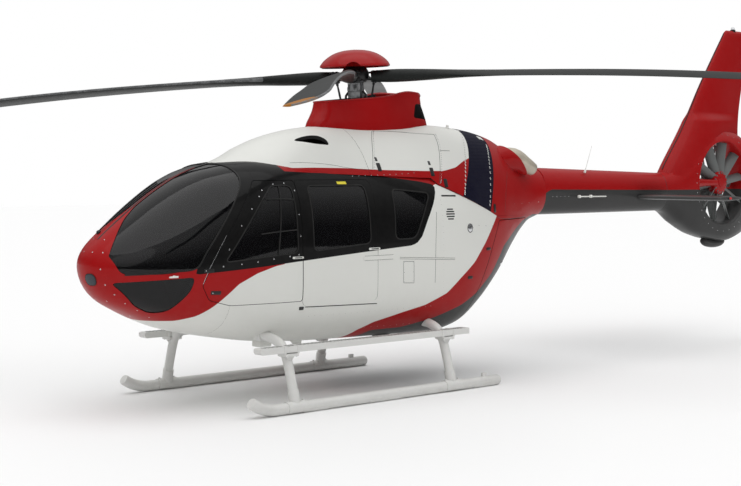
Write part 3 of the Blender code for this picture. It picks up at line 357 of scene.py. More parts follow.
def piece(name, mesh, body, materials, replaces=(), angle=32.0, place=HOME):
    """One finished piece: put in place, shaded, painted and riding on its body."""
    mesh.transform(place)
    mesh.name = name
    smoothed(mesh, angle)
    if not isinstance(materials, (list, tuple)):
        materials = [materials]
    if len(mesh.materials) != len(materials):
        keep = np.zeros(len(mesh.polygons), np.int32)
        mesh.polygons.foreach_get("material_index", keep)
        mesh.materials.clear()
        for material in materials:
            mesh.materials.append(material)
        mesh.polygons.foreach_set("material_index", np.minimum(keep, len(materials) - 1))
    else:
        for i, material in enumerate(materials):
            mesh.materials[i] = material
    made = bpy.data.objects.new(name, mesh)
    bpy.context.scene.collection.objects.link(made)
    if replaces:
        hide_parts(*replaces)
    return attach(made, body)


def sweep(path, radius, sides=16, closed=True, squash=1.0):
    """A round rod along a path; the radius may be one number or one for each point."""
    path = [Vector(p) for p in path]
    radii = radius if isinstance(radius, (list, tuple)) else [radius] * len(path)
    rings, up = [], None
    for i, here in enumerate(path):
        along = (path[min(i + 1, len(path) - 1)] - path[max(i - 1, 0)]).normalized()
        if up is None:
            up = Vector((0, 0, 1)) if abs(along.z) < 0.9 else Vector((1, 0, 0))
        side = along.cross(up).normalized()
        up = side.cross(along).normalized()
        rings.append([here + side * (radii[i] * math.cos(a)) + up * (radii[i] * squash * math.sin(a))
                      for a in (2 * math.pi * k / sides for k in range(sides))])
    return ring_mesh([[tuple(p) for p in ring] for ring in rings], closed)


def bent(points, per_span=8):
    """A smooth path through points."""
    points = [Vector(p) for p in points]
    path = []
    for i in range(len(points) - 1):
        before = points[max(i - 1, 0)]
        a, b = points[i], points[i + 1]
        after = points[min(i + 2, len(points) - 1)]
        for k in range(per_span):
            t = k / per_span
            path.append(0.5 * ((2 * a) + (b - before) * t + (2 * before - 5 * a + 4 * b - after) * t * t
                               + (3 * a - before - 3 * b + after) * t ** 3))
    path.append(points[-1])
    return path


# Places on the skin
def shell_share(points, skin):
    """How far out each point lies in the fuselage's own section: 1 on the skin, less inside."""
    middle, half, up, down, n_up, n_down = hull(points[:, 0], skin)
    rise = points[:, 2] - middle
    height = np.where(rise > 0, up, down)
    power = np.where(rise > 0, n_up, n_down)
    return ((np.abs(points[:, 1]) / half) ** power + (np.abs(rise) / height) ** power) ** (1 / power), half


def skin_point(x, z, side, skin=BODY, proud=0.0):
    """The point on the skin at x and z on one side, and the way that the skin faces there."""
    def at(x, z):
        middle, half, up, down, n_up, n_down = (float(v) for v in hull(x, skin))
        rise = z - middle
        height, power = (up, n_up) if rise > 0 else (down, n_down)
        share = min(abs(rise) / height, 0.9999)
        return Vector((x, side * half * (1 - share ** power) ** (1 / power), z))
    here = at(x, z)
    ahead, above = at(x + 0.01, z) - at(x - 0.01, z), at(x, z + 0.01) - at(x, z - 0.01)
    facing = (above.cross(ahead) * side).normalized()
    if facing.y * side < 0:
        facing = -facing
    return here + facing * proud, facing


def top_point(x, y, skin=COWL, proud=0.0):
    """The point on top of the skin at x and y, and the way that the skin faces there."""
    def at(x, y):
        middle, half, up, _, power, _ = (float(v) for v in hull(x, skin))
        share = min(abs(y) / half, 0.9999)
        return Vector((x, y, middle + up * (1 - share ** power) ** (1 / power)))
    here = at(x, y)
    facing = (at(x + 0.01, y) - at(x - 0.01, y)).cross(at(x, y + 0.01) - at(x, y - 0.01)).normalized()
    if facing.z < 0:
        facing = -facing
    return here + facing * proud, facing


def facing_frame(place, facing, along=(1, 0, 0)):
    """The matrix that lays a flat piece, made facing +Z with its length on +X, on a surface."""
    z = Vector(facing).normalized()
    x = (Vector(along) - z * z.dot(Vector(along))).normalized()
    y = z.cross(x)
    return Matrix.Translation(place) @ Matrix((x, y, z)).transposed().to_4x4()


# Paint fields
def field_of(points, outline):
    """How far each point lies inside an outline in side view, below 0 outside."""
    px, pz = points[:, 0], points[:, 2]
    inside = np.zeros(len(points), bool)
    nearest = np.full(len(points), 9.0)
    for (ax, az), (bx, bz) in zip(outline, outline[1:] + outline[:1]):
        crosses = (az > pz) != (bz > pz)
        with np.errstate(divide="ignore", invalid="ignore"):
            cut_x = ax + (pz - az) * (bx - ax) / (bz - az)
        inside ^= crosses & (px < cut_x)
        run = np.array([bx - ax, bz - az])
        t = np.clip(((px - ax) * run[0] + (pz - az) * run[1]) / (run @ run), 0, 1)
        nearest = np.minimum(nearest, np.hypot(px - ax - t * run[0], pz - az - t * run[1]))
    return np.where(inside, nearest, -nearest)


def paint_fields(mesh, **outlines):
    """Writes how far each point lies inside each paint's outline, for the paint's material to read."""
    points = np.zeros(len(mesh.vertices) * 3)
    mesh.vertices.foreach_get("co", points)
    points = points.reshape(-1, 3)
    for name in ("white", "black", "grey"):
        outline = outlines.get(name)
        depth = field_of(points, tuple(outline)) if outline else np.full(len(points), -1.0)
        made = mesh.attributes.new(f"{name}_field", "FLOAT", "POINT")
        made.data.foreach_set("value", depth.astype(np.float32))
    return mesh


def split_faces(mesh, skin=BODY):
    """Gives the faces that aren't on the outer skin the second material. The cut edges are among them, so a
    dark second material there is painted shade in the gaps between panels.
    """
    points = np.zeros(len(mesh.vertices) * 3)
    mesh.vertices.foreach_get("co", points)
    share, half = shell_share(points.reshape(-1, 3), skin)
    outer = (1 - share) * half < 0.0025
    index = [0 if all(outer[v] for v in face.vertices) or face.center.x > 3.14 else 1
             for face in mesh.polygons]
    mesh.polygons.foreach_set("material_index", index)
    return mesh


# Materials
class Recipe:
    """One material's nodes, added one at a time."""

    def __init__(self, tree):
        self.tree = tree

    def add(self, kind, inputs=None, **settings):
        made = self.tree.nodes.new(kind)
        for key, value in settings.items():
            setattr(made, key, value)
        for key, value in (inputs or {}).items():
            if isinstance(value, bpy.types.NodeSocket):
                self.tree.links.new(value, made.inputs[key])
            else:
                made.inputs[key].default_value = value
        return made

    def math(self, operation, a, b=0.0, c=0.0, clamp=False):
        made = self.add("ShaderNodeMath", {0: a, 1: b, 2: c}, operation=operation, use_clamp=clamp)
        return made.outputs[0]

    def ramp(self, value, low, high, to_low=0.0, to_high=1.0):
        made = self.add("ShaderNodeMapRange", {"Value": value, "From Min": low, "From Max": high,
                                               "To Min": to_low, "To Max": to_high})
        return made.outputs[0]

    def mix(self, share, a, b):
        made = self.add("ShaderNodeMix", data_type="RGBA")
        for key, value in (("Factor_Float", share), ("A_Color", a), ("B_Color", b)):
            socket = next(s for s in made.inputs if s.identifier == key)
            if isinstance(value, bpy.types.NodeSocket):
                self.tree.links.new(value, socket)
            else:
                socket.default_value = value
        return next(s for s in made.outputs if s.identifier == "Result_Color")

    def noise(self, where, scale, detail=3.0, rough=0.5):
        made = self.add("ShaderNodeTexNoise", {"Vector": where, "Scale": scale, "Detail": detail,
                                               "Roughness": rough})
        return made.outputs[0]

    def where(self):
        return self.add("ShaderNodeTexCoord").outputs["Object"]

    def stretch(self, where, scale):
        return self.add("ShaderNodeMapping", {"Vector": where, "Scale": scale}).outputs[0]


def node_group(name, inputs, outputs):
    """An empty shader group with its sockets, its recipe, and its input and output nodes."""
    tree = bpy.data.node_groups.new(name, "ShaderNodeTree")
    for label, kind, value in inputs:
        made = tree.interface.new_socket(label, in_out="INPUT", socket_type=f"NodeSocket{kind}")
        made.default_value = value
    for label, kind in outputs:
        tree.interface.new_socket(label, in_out="OUTPUT", socket_type=f"NodeSocket{kind}")
    recipe = Recipe(tree)
    return recipe, recipe.add("NodeGroupInput").outputs, recipe.add("NodeGroupOutput").inputs


def make_surface_group():
    """Fine unevenness of a coating: a value for its bump and a gently varied roughness and colour."""
    r, given, out = node_group("coat_surface", [("Grain", "Float", 260.0), ("Roughness", "Float", 0.3),
                                               ("Spread", "Float", 0.08), ("Colour", "Color", (1, 1, 1, 1)),
                                               ("Fade", "Float", 0.06)],
                               [("Colour", "Color"), ("Roughness", "Float"), ("Height", "Float")])
    where = r.where()
    broad = r.noise(where, 1.7, 4.0, 0.6)
    cloudy = r.noise(where, 14.0, 3.0, 0.55)
    fine = r.noise(where, given["Grain"], 2.0, 0.5)
    uneven = r.math("ADD", r.math("MULTIPLY", broad, 0.6), r.math("MULTIPLY", cloudy, 0.4))
    shift = r.math("MULTIPLY", r.math("SUBTRACT", uneven, 0.5), given["Spread"])
    rough = r.math("ADD", given["Roughness"], r.math("MULTIPLY", shift, 2.0), clamp=True)
    dull = r.math("MULTIPLY", r.ramp(uneven, 0.35, 0.75), given["Fade"])
    colour = r.mix(dull, given["Colour"], (0.35, 0.34, 0.32, 1.0))
    for key, value in (("Colour", colour), ("Roughness", rough), ("Height", fine)):
        r.tree.links.new(value, out[key])
    return r.tree


def make_grime_group():
    """Dust that settles low down, in patches and in streaks that run aft."""
    r, given, out = node_group("road_grime", [("Amount", "Float", 0.3), ("Top", "Float", 0.9)],
                               [("Mask", "Float")])
    where = r.where()
    height = r.add("ShaderNodeSeparateXYZ", {0: where}).outputs["Z"]
    low = r.ramp(height, given["Top"], 0.0)
    patches = r.ramp(r.noise(where, 9.0, 5.0, 0.65), 0.42, 0.72)
    streaks = r.ramp(r.noise(r.stretch(where, (1.2, 18.0, 18.0)), 2.0, 4.0, 0.6), 0.5, 0.8)
    both = r.math("ADD", r.math("MULTIPLY", patches, 0.7), r.math("MULTIPLY", streaks, 0.5), clamp=True)
    mask = r.math("MULTIPLY", r.math("MULTIPLY", both, low), given["Amount"], clamp=True)
    r.tree.links.new(mask, out["Mask"])
    return r.tree


SURFACE = make_surface_group()
GRIME = make_grime_group()


def new_material(name):
    made = bpy.data.materials.new(name)
    made.use_nodes = True
    recipe = Recipe(made.node_tree)
    return made, recipe, made.node_tree.nodes["Principled BSDF"]


def finish_coat(recipe, shader, colour, rough, spread, grain, bump, fade=0.05, grime=0.0, grime_top=0.9):
    """Feeds a shader from the shared surface group, with grime over it."""
    coat = recipe.add("ShaderNodeGroup", node_tree=SURFACE)
    for key, value in (("Grain", grain), ("Roughness", rough), ("Spread", spread), ("Colour", colour),
                       ("Fade", fade)):
        if isinstance(value, bpy.types.NodeSocket):
            recipe.tree.links.new(value, coat.inputs[key])
        else:
            coat.inputs[key].default_value = value
    result, roughness = coat.outputs["Colour"], coat.outputs["Roughness"]
    if grime:
        dirt = recipe.add("ShaderNodeGroup", node_tree=GRIME)
        dirt.inputs["Amount"].default_value = grime
        dirt.inputs["Top"].default_value = grime_top
        result = recipe.mix(dirt.outputs["Mask"], result, (0.30, 0.28, 0.24, 1.0))
        roughness = recipe.math("ADD", roughness, recipe.math("MULTIPLY", dirt.outputs["Mask"], 0.3),
                                clamp=True)
    recipe.tree.links.new(result, shader.inputs["Base Color"])
    recipe.tree.links.new(roughness, shader.inputs["Roughness"])
    lift = recipe.add("ShaderNodeBump", {"Height": coat.outputs["Height"], "Strength": bump,
                                         "Distance": 0.001})
    recipe.tree.links.new(lift.outputs[0], shader.inputs["Normal"])


def coated(name, colour, rough=0.4, spread=0.08, grain=300.0, bump=0.1, metallic=0.0, fade=0.05, grime=0.0,
           coat=0.0, grime_top=0.9, shine=0.5):
    """A plain coated or moulded material of one colour."""
    made, recipe, shader = new_material(name)
    shader.inputs["Specular IOR Level"].default_value = shine
    shader.inputs["Metallic"].default_value = metallic
    shader.inputs["Coat Weight"].default_value = coat
    shader.inputs["Coat Roughness"].default_value = 0.06
    finish_coat(recipe, shader, (*colour, 1.0), rough, spread, grain, bump, fade, grime, grime_top)
    return made


RED = (0.335, 0.004, 0.005, 1.0)
WHITE = (0.74, 0.745, 0.71, 1.0)
BLACK = (0.0030, 0.0030, 0.0032, 1.0)
DARK_GREY = (0.042, 0.042, 0.042, 1.0)


def make_livery():
    """Gloss paint in red, white, black and grey, each laid where its field is above 0."""
    made, recipe, shader = new_material("livery_paint")
    colour = RED
    for name, paint in (("white", WHITE), ("grey", DARK_GREY), ("black", BLACK)):
        depth = recipe.add("ShaderNodeAttribute", attribute_name=f"{name}_field").outputs["Fac"]
        colour = recipe.mix(recipe.ramp(depth, -0.0012, 0.0012), colour, paint)
    shader.inputs["Specular IOR Level"].default_value = 0.08
    shader.inputs["Coat Weight"].default_value = 0.10
    shader.inputs["Coat Roughness"].default_value = 0.04
    finish_coat(recipe, shader, colour, 0.34, 0.06, 420.0, 0.04, 0.02, 0.12, 1.3)
    return made


def make_glass():
    """Tinted acrylic with faint wiping marks."""
    made, recipe, shader = new_material("tinted_glazing")
    where = recipe.where()
    marks = recipe.ramp(recipe.noise(recipe.stretch(where, (3.0, 3.0, 9.0)), 4.0, 4.0, 0.6), 0.4, 0.8)
    shader.inputs["Base Color"].default_value = (0.004, 0.004, 0.0045, 1.0)
    shader.inputs["Alpha"].default_value = 0.88
    shader.inputs["IOR"].default_value = 1.38
    recipe.tree.links.new(recipe.ramp(marks, 0.0, 1.0, 0.02, 0.06), shader.inputs["Roughness"])
    return made


def make_cloth(name, colour, thread):
    """A plain weave: two crossed ribs of thread with a little fuzz."""
    made, recipe, shader = new_material(name)
    where = recipe.where()
    waves = [recipe.add("ShaderNodeTexWave", {"Vector": where, "Scale": thread}, wave_type="BANDS",
                        bands_direction=axis, wave_profile="SIN").outputs["Fac"] for axis in ("X", "Y", "Z")]
    weave = recipe.math("MULTIPLY", recipe.math("MAXIMUM", waves[0], waves[1]), waves[2])
    fuzz = recipe.noise(where, 180.0, 4.0, 0.6)
    worn = recipe.ramp(recipe.noise(where, 6.0, 3.0, 0.5), 0.4, 0.8, 0.0, 0.5)
    dark, light = (*[c * 0.55 for c in colour], 1.0), (*[min(c * 1.6, 1.0) for c in colour], 1.0)
    shade = recipe.mix(recipe.math("ADD", recipe.math("MULTIPLY", weave, 0.6),
                                   recipe.math("MULTIPLY", worn, 0.6)),
                       dark, light)
    recipe.tree.links.new(shade, shader.inputs["Base Color"])
    recipe.tree.links.new(recipe.ramp(fuzz, 0.0, 1.0, 0.75, 0.95), shader.inputs["Roughness"])
    shader.inputs["Sheen Weight"].default_value = 0.25
    height = recipe.math("ADD", weave, recipe.math("MULTIPLY", fuzz, 0.5))
    lift = recipe.add("ShaderNodeBump", {"Height": height, "Strength": 0.35, "Distance": 0.0008})
    recipe.tree.links.new(lift.outputs[0], shader.inputs["Normal"])
    return made


def make_exhaust():
    """Bare steel turned straw and brown by heat, sooty inside its mouth."""
    made, recipe, shader = new_material("heated_steel")
    where = recipe.where()
    aft = recipe.ramp(recipe.add("ShaderNodeSeparateXYZ", {0: where}).outputs["X"], 0.1 + MAST_X - 2.0,
                      MAST_X - 2.45)
    cloudy = recipe.noise(where, 7.0, 5.0, 0.6)
    tint = recipe.mix(recipe.math("MULTIPLY", cloudy, 0.8), (0.62, 0.56, 0.44, 1.0), (0.45, 0.40, 0.33, 1.0))
    tint = recipe.mix(recipe.math("MULTIPLY", aft, recipe.ramp(cloudy, 0.3, 0.8)), tint,
                      (0.30, 0.27, 0.24, 1.0))
    finish_coat(recipe, shader, tint, 0.42, 0.2, 90.0, 0.15, 0.1)
    shader.inputs["Metallic"].default_value = 0.35
    return made


def make_screen():
    """A fine dark blue particle screen: a woven grid of round holes, painted darker than the mesh as painted
    shade seen through them.
    """
    made, recipe, shader = new_material("particle_screen")
    where = recipe.where()
    cells = recipe.add("ShaderNodeTexVoronoi", {"Vector": where, "Scale": 110.0, "Randomness": 0.0},
                       feature="F1").outputs["Distance"]
    hole = recipe.ramp(cells, 0.28, 0.42)
    pleats = recipe.add("ShaderNodeTexWave", {"Vector": where, "Scale": 9.0}, wave_type="BANDS",
                        bands_direction="Z").outputs["Fac"]
    # Darker in the holes: painted shade seen through the screen
    colour = recipe.mix(hole, (0.0015, 0.0015, 0.005, 1.0), (0.005, 0.0048, 0.019, 1.0))
    finish_coat(recipe, shader, colour, 0.55, 0.1, 200.0, 0.05, 0.03)
    shader.inputs["Specular IOR Level"].default_value = 0.06
    height = recipe.math("ADD", recipe.math("MULTIPLY", hole, 0.4), pleats)
    lift = recipe.add("ShaderNodeBump", {"Height": height, "Strength": 0.5, "Distance": 0.002})
    recipe.tree.links.new(lift.outputs[0], shader.inputs["Normal"])
    return made


def make_blade():
    """Grey composite skin with an orange tip and a rubbed steel leading edge."""
    made, recipe, shader = new_material("blade_skin")
    tip = recipe.add("ShaderNodeAttribute", attribute_name="tip_field").outputs["Fac"]
    lead = recipe.add("ShaderNodeAttribute", attribute_name="lead_field").outputs["Fac"]
    colour = recipe.mix(recipe.ramp(tip, -0.002, 0.002), (0.012, 0.014, 0.0135, 1.0),
                        (0.36, 0.14, 0.016, 1.0))
    rubbed = recipe.math("MULTIPLY", recipe.ramp(lead, -0.002, 0.002),
                         recipe.ramp(recipe.noise(recipe.where(), 25.0, 4.0, 0.6), 0.35, 0.6, 0.5, 1.0))
    colour = recipe.mix(rubbed, colour, (0.17, 0.175, 0.18, 1.0))
    finish_coat(recipe, shader, colour, 0.42, 0.1, 240.0, 0.1, 0.03)
    shader.inputs["Specular IOR Level"].default_value = 0.10
    return made


LIVERY = make_livery()
GLASS = make_glass()
# Dark lining for the insides of shells and cabin fittings; on the cut edges of panels it is also painted
# shade in the gaps, and inside the mast fairing painted shade in its well
LINING_AND_SHADE = coated("cabin_lining", (0.012, 0.012, 0.013), 0.75, 0.08, 500.0, 0.35, shine=0.2)
SEAL = coated("rubber_seal", (0.004, 0.004, 0.004), 0.55, 0.08, 350.0, 0.2, shine=0.3)
BLACK_TRIM = coated("black_trim", (0.005, 0.005, 0.006), 0.36, 0.1, 300.0, 0.12, shine=0.35)
GEAR_PAINT = coated("gear_paint", (0.70, 0.70, 0.68), 0.40, 0.1, 220.0, 0.12, 0.0, 0.06, 0.25, 0.1, 0.25)
METAL = coated("machined_metal", (0.42, 0.43, 0.44), 0.34, 0.14, 500.0, 0.15, 0.9, 0.05)
DARK_METAL = coated("dark_steel", (0.05, 0.052, 0.055), 0.42, 0.14, 400.0, 0.18, 0.6, 0.05)
STEEL = coated("bright_steel", (0.62, 0.63, 0.64), 0.25, 0.12, 500.0, 0.1, 1.0, 0.03)
RED_PAINT = coated("red_gloss", RED[:3], 0.32, 0.06, 420.0, 0.04, 0.0, 0.02, 0.0, 0.12, shine=0.10)
WHITE_PAINT = coated("white_gloss", WHITE[:3], 0.34, 0.06, 420.0, 0.04, 0.0, 0.03, 0.0, 0.12, shine=0.15)
GREY_PAINT = coated("dark_gloss", DARK_GREY[:3], 0.36, 0.08, 380.0, 0.06, 0.0, 0.03, 0.1, 0.08, shine=0.12)
YELLOW = coated("yellow_label", (0.78, 0.66, 0.02), 0.45, 0.06, 300.0, 0.08)
FAN_GREY = coated("fan_grey", (0.13, 0.14, 0.138), 0.45, 0.1, 260.0, 0.12, 0.0, 0.05, 0.0, shine=0.3)
RED_LENS = coated("red_lens", (0.55, 0.006, 0.010), 0.12, 0.05, 120.0, 0.03, fade=0.0)
GREEN_LENS = coated("green_lens", (0.01, 0.38, 0.10), 0.12, 0.05, 120.0, 0.03, fade=0.0)
CLEAR_LENS = coated("clear_lens", (0.80, 0.82, 0.84), 0.10, 0.05, 120.0, 0.03, fade=0.0)
DISPLAY = coated("display_glass", (0.006, 0.012, 0.022), 0.08, 0.04, 60.0, 0.02, fade=0.0)
EXHAUST = make_exhaust()
SCREEN = make_screen()
BLADE = make_blade()
SEAT_CLOTH = make_cloth("seat_weave", (0.07, 0.07, 0.078), 160.0)


# Trees that repeat a shape
def set_inputs(tree, first, inputs):
    """The input and output sockets of a Geometry Nodes tree that takes a geometry and a material."""
    face = tree.interface
    face.new_socket(first, in_out="INPUT", socket_type="NodeSocketGeometry")
    for label, kind, value in inputs:
        face.new_socket(label, in_out="INPUT", socket_type=f"NodeSocket{kind}").default_value = value
    face.new_socket("Material", in_out="INPUT", socket_type="NodeSocketMaterial")
    face.new_socket("Result", in_out="OUTPUT", socket_type="NodeSocketGeometry")
    recipe = Recipe(tree)
    return recipe, recipe.add("NodeGroupInput").outputs, recipe.add("NodeGroupOutput").inputs


def scatter(recipe, given, points, shape, rotation):
    """Instances made real with the tree's material."""
    spread = recipe.add("GeometryNodeInstanceOnPoints", {"Points": points, "Instance": shape,
                                                         "Rotation": rotation})
    real = recipe.add("GeometryNodeRealizeInstances", {"Geometry": spread.outputs[0]})
    painted = recipe.add("GeometryNodeSetMaterial", {"Geometry": real.outputs[0],
                                                     "Material": given["Material"]})
    return painted.outputs[0]


def random_between(recipe, low, high, seed):
    made = recipe.add("FunctionNodeRandomValue", {"Seed": seed}, data_type="FLOAT")
    for key, value in (("Min_001", low), ("Max_001", high)):
        recipe.tree.links.new(value, next(s for s in made.inputs if s.identifier == key))
    return next(s for s in made.outputs if s.identifier == "Value_001")


def make_plate_tree():
    """A plate with round corners and a chamfered rim on each point, facing and lying as the point says."""
    tree = bpy.data.node_groups.new("fitted_plates", "GeometryNodeTree")
    r, given, out = set_inputs(tree, "Places", [("Length", "Float", 0.012), ("Width", "Float", 0.012),
                                                ("Thickness", "Float", 0.002), ("Corner", "Float", 0.006),
                                                ("Sink", "Float", 0.0005), ("Turn", "Float", 0.0),
                                                ("Seed", "Int", 5)])
    outline = r.add("GeometryNodeCurvePrimitiveQuadrilateral",
                    {"Width": given["Length"], "Height": given["Width"]})
    curved = r.add("GeometryNodeFilletCurve", {"Curve": outline.outputs[0], "Count": 4,
                                               "Radius": given["Corner"],
                                               "Limit Radius": True}, mode="POLY")
    sheet = r.add("GeometryNodeFillCurve", {"Curve": curved.outputs[0]}, mode="NGONS").outputs[0]
    half = r.math("MULTIPLY", given["Thickness"], 0.55)
    wall = r.add("GeometryNodeExtrudeMesh", {"Mesh": sheet, "Offset Scale": half, "Individual": False},
                 mode="FACES")
    rest = r.math("SUBTRACT", given["Thickness"], half)
    rim = r.add("GeometryNodeExtrudeMesh", {"Mesh": wall.outputs[0], "Selection": wall.outputs["Top"],
                                            "Offset Scale": rest, "Individual": False}, mode="FACES")
    domed = r.add("GeometryNodeScaleElements", {"Geometry": rim.outputs[0], "Selection": rim.outputs["Top"],
                                                "Scale": 0.84}, domain="FACE")
    under = r.add("GeometryNodeFlipFaces", {"Mesh": sheet})
    both = r.add("GeometryNodeJoinGeometry")
    tree.links.new(domed.outputs[0], both.inputs[0])
    tree.links.new(under.outputs[0], both.inputs[0])
    solid = r.add("GeometryNodeMergeByDistance", {"Geometry": both.outputs[0], "Distance": 0.00001})
    drop = r.add("ShaderNodeCombineXYZ", {"Z": r.math("MULTIPLY", given["Sink"], -1.0)})
    plate = r.add("GeometryNodeTransform", {"Geometry": solid.outputs[0], "Translation": drop.outputs[0]})
    facing = r.add("GeometryNodeInputNamedAttribute", {"Name": "facing"},
                   data_type="FLOAT_VECTOR").outputs[0]
    along = r.add("GeometryNodeInputNamedAttribute", {"Name": "along"}, data_type="FLOAT_VECTOR").outputs[0]
    stood = r.add("FunctionNodeAlignRotationToVector", {"Vector": facing}, axis="Z")
    laid = r.add("FunctionNodeAlignRotationToVector", {"Rotation": stood.outputs[0], "Vector": along},
                 axis="X",
                 pivot_axis="Z")
    turn = random_between(r, r.math("MULTIPLY", given["Turn"], -1.0), given["Turn"], given["Seed"])
    spin = r.add("FunctionNodeAxisAngleToRotation", {"Axis": (0.0, 0.0, 1.0), "Angle": turn})
    way = r.add("FunctionNodeRotateRotation", {"Rotation": laid.outputs[0], "Rotate By": spin.outputs[0]},
                rotation_space="LOCAL")
    tree.links.new(scatter(r, given, given["Places"], plate.outputs[0], way.outputs[0]), out["Result"])
    return tree


def make_ring_tree():
    """A shape repeated round Z, each copy a little out of its even place."""
    tree = bpy.data.node_groups.new("round_copies", "GeometryNodeTree")
    r, given, out = set_inputs(tree, "Shape", [("Count", "Int", 10), ("Start", "Float", 0.0),
                                               ("Uneven", "Float", 0.0), ("Seed", "Int", 4)])
    points = r.add("GeometryNodePoints", {"Count": given["Count"]})
    step = r.math("DIVIDE", 2 * math.pi, given["Count"])
    even = r.math("MULTIPLY", r.add("GeometryNodeInputIndex").outputs[0], step)
    shift = random_between(r, r.math("MULTIPLY", given["Uneven"], -1.0), given["Uneven"], given["Seed"])
    angle = r.math("ADD", r.math("ADD", even, given["Start"]), shift)
    spin = r.add("FunctionNodeAxisAngleToRotation", {"Axis": (0.0, 0.0, 1.0), "Angle": angle})
    tree.links.new(scatter(r, given, points.outputs[0], given["Shape"], spin.outputs[0]), out["Result"])
    return tree


PLATES = make_plate_tree()
RING = make_ring_tree()


def grown_by(tree, mesh, **values):
    """The plain mesh that a Geometry Nodes tree makes from a mesh, with its named inputs set."""
    work = work_object(mesh)
    modifier = work.modifiers.new("made", "NODES")
    modifier.node_group = tree
    for item in tree.interface.items_tree:
        if item.item_type == "SOCKET" and item.in_out == "INPUT" and item.name in values:
            modifier[item.identifier] = values[item.name]
    return finished(work)


def ringed(mesh, count, start=0.0, uneven=0.0, material=None):
    return grown_by(RING, mesh, Count=count, Start=start, Uneven=uneven, Material=material)


# Fittings laid on the skin
TRIM = {}


def trim(material, *meshes, body="airframe"):
    """Keeps meshes of one material for the trim of a body."""
    TRIM.setdefault(body, []).extend((mesh, material) for mesh in meshes)


def finish_trim():
    """One piece of trim for each body, in all its materials."""
    for body, parts in TRIM.items():
        palette = []
        for mesh, material in parts:
            if material not in palette:
                palette.append(material)
            mesh.polygons.foreach_set("material_index", [palette.index(material)] * len(mesh.polygons))
        mesh = joined(*[mesh for mesh, _ in parts])
        for material in palette:
            mesh.materials.append(material)
        piece(f"trim_{body}", mesh, body, palette, (), 35)


def onto(point, skin=BODY, proud=0.0):
    """The skin's point straight out from its middle line through a point, and the way it faces there."""
    x, y, z = point
    turn = math.atan2(z - value_at(x, WIDEST_Z), y)

    def at(x, turn):
        middle, half, up, down, n_up, n_down = (float(v) for v in hull(x, skin))
        across, rise = math.cos(turn), math.sin(turn)
        height, power = (up, n_up) if rise > 0 else (down, n_down)
        reach = ((abs(across) / half) ** power + (abs(rise) / height) ** power) ** (-1 / power)
        return Vector((x, across * reach, middle + rise * reach))
    here = at(x, turn)
    facing = (at(x + 0.004, turn) - at(x - 0.004,
                                       turn)).cross(at(x, turn + 0.01) - at(x, turn - 0.01)).normalized()
    if facing.dot(at(x, turn) - Vector((x, 0.0, value_at(x, WIDEST_Z)))) < 0:
        facing = -facing
    return here + facing * proud, facing


def spaced(points, step=0.02, smooth=True, loop=False):
    """Points at even steps along a line through points."""
    line = [Vector(p) for p in points]
    if loop:
        line.append(line[0].copy())
    elif smooth and len(line) > 2:
        line = bent(line, 8)
    path = [line[0]]
    for a, b in zip(line, line[1:]):
        count = max(1, int(round((b - a).length / step)))
        path += [a.lerp(b, (k + 1) / count) for k in range(count)]
    return path[:-1] if loop else path


def ribbon(points, width, proud=0.0006, skin=BODY, dip=0.002, smooth=True, loop=False, step=0.02):
    """A thin strip laid along the skin through points near it."""
    path = spaced(points, step, smooth, loop)
    places = [onto(p, skin) for p in path]
    count = len(places)
    rings = []
    for i, (here, facing) in enumerate(places):
        ahead = places[(i + 1) % count if loop else min(i + 1, count - 1)][0]
        behind = places[(i - 1) % count if loop else max(i - 1, 0)][0]
        across = facing.cross((ahead - behind).normalized()).normalized() * (width / 2)
        rings.append([tuple(here + across * side + facing * height) for side, height in
                      ((-1, -dip), (1, -dip), (1, proud * 0.3), (0.7, proud), (-0.7, proud),
                       (-1, proud * 0.3))])
    return ring_mesh(rings, loop=loop)


def side_loop(outline, side, width=0.011, proud=0.0012, dip=0.009):
    """A strip round an outline in side view, laid on one side of the fuselage."""
    points = [skin_point(x, z, side)[0] for x, z in outline]
    return ribbon(points, width, proud, BODY, dip, loop=True, step=0.015)


def spot(point, skin=BODY, along=(1.0, 0.0, 0.0), proud=0.0):
    place, facing = onto(point, skin, proud)
    return place, facing, Vector(along)


def plates(material, spots, length, width=None, thick=0.002, corner=None, sink=0.0006, turn=0.0,
           body="airframe"):
    """Plates at spots, each (place, facing, along), kept for a body's trim."""
    width = width or length
    base = bpy.data.meshes.new("places")
    base.from_pydata([tuple(place) for place, _, _ in spots], [], [])
    for name, column in (("facing", 1), ("along", 2)):
        made = base.attributes.new(name, "FLOAT_VECTOR", "POINT")
        made.data.foreach_set("vector", [c for entry in spots for c in entry[column]])
    corner = min(length, width) * 0.4999 if corner is None else corner
    trim(material, grown_by(PLATES, base, Length=length, Width=width, Thickness=thick, Corner=corner,
                            Sink=sink,
                            Turn=turn, Material=material), body=body)


def screws(spots, radius=0.006, head=None, body="airframe"):
    """Low round heads, each with a driver slot turned its own way."""
    plates(head or STEEL, spots, radius * 2, thick=0.0016, body=body)
    plates(BLACK_TRIM, [(p + f * 0.0008, f, a) for p, f, a in spots], radius * 1.3, radius * 0.28, 0.0010,
           0.0002,
           0.0006, 1.6, body)


def mirrored(points):
    return [(x, -y, z) for x, y, z in points]


def both_sides(points):
    return (("left", 1.0, points), ("right", -1.0, mirrored(points)))


# Picture
SKY_LOW = 0.05
SKY_HIGH = 0.76
CAMERA_PLACE = (10.161 + MAST_X, 11.33, 2.218)
CAMERA_YAW = math.radians(227.54)
CAMERA_PITCH = math.radians(-2.97)
LENS_MM = 73.41


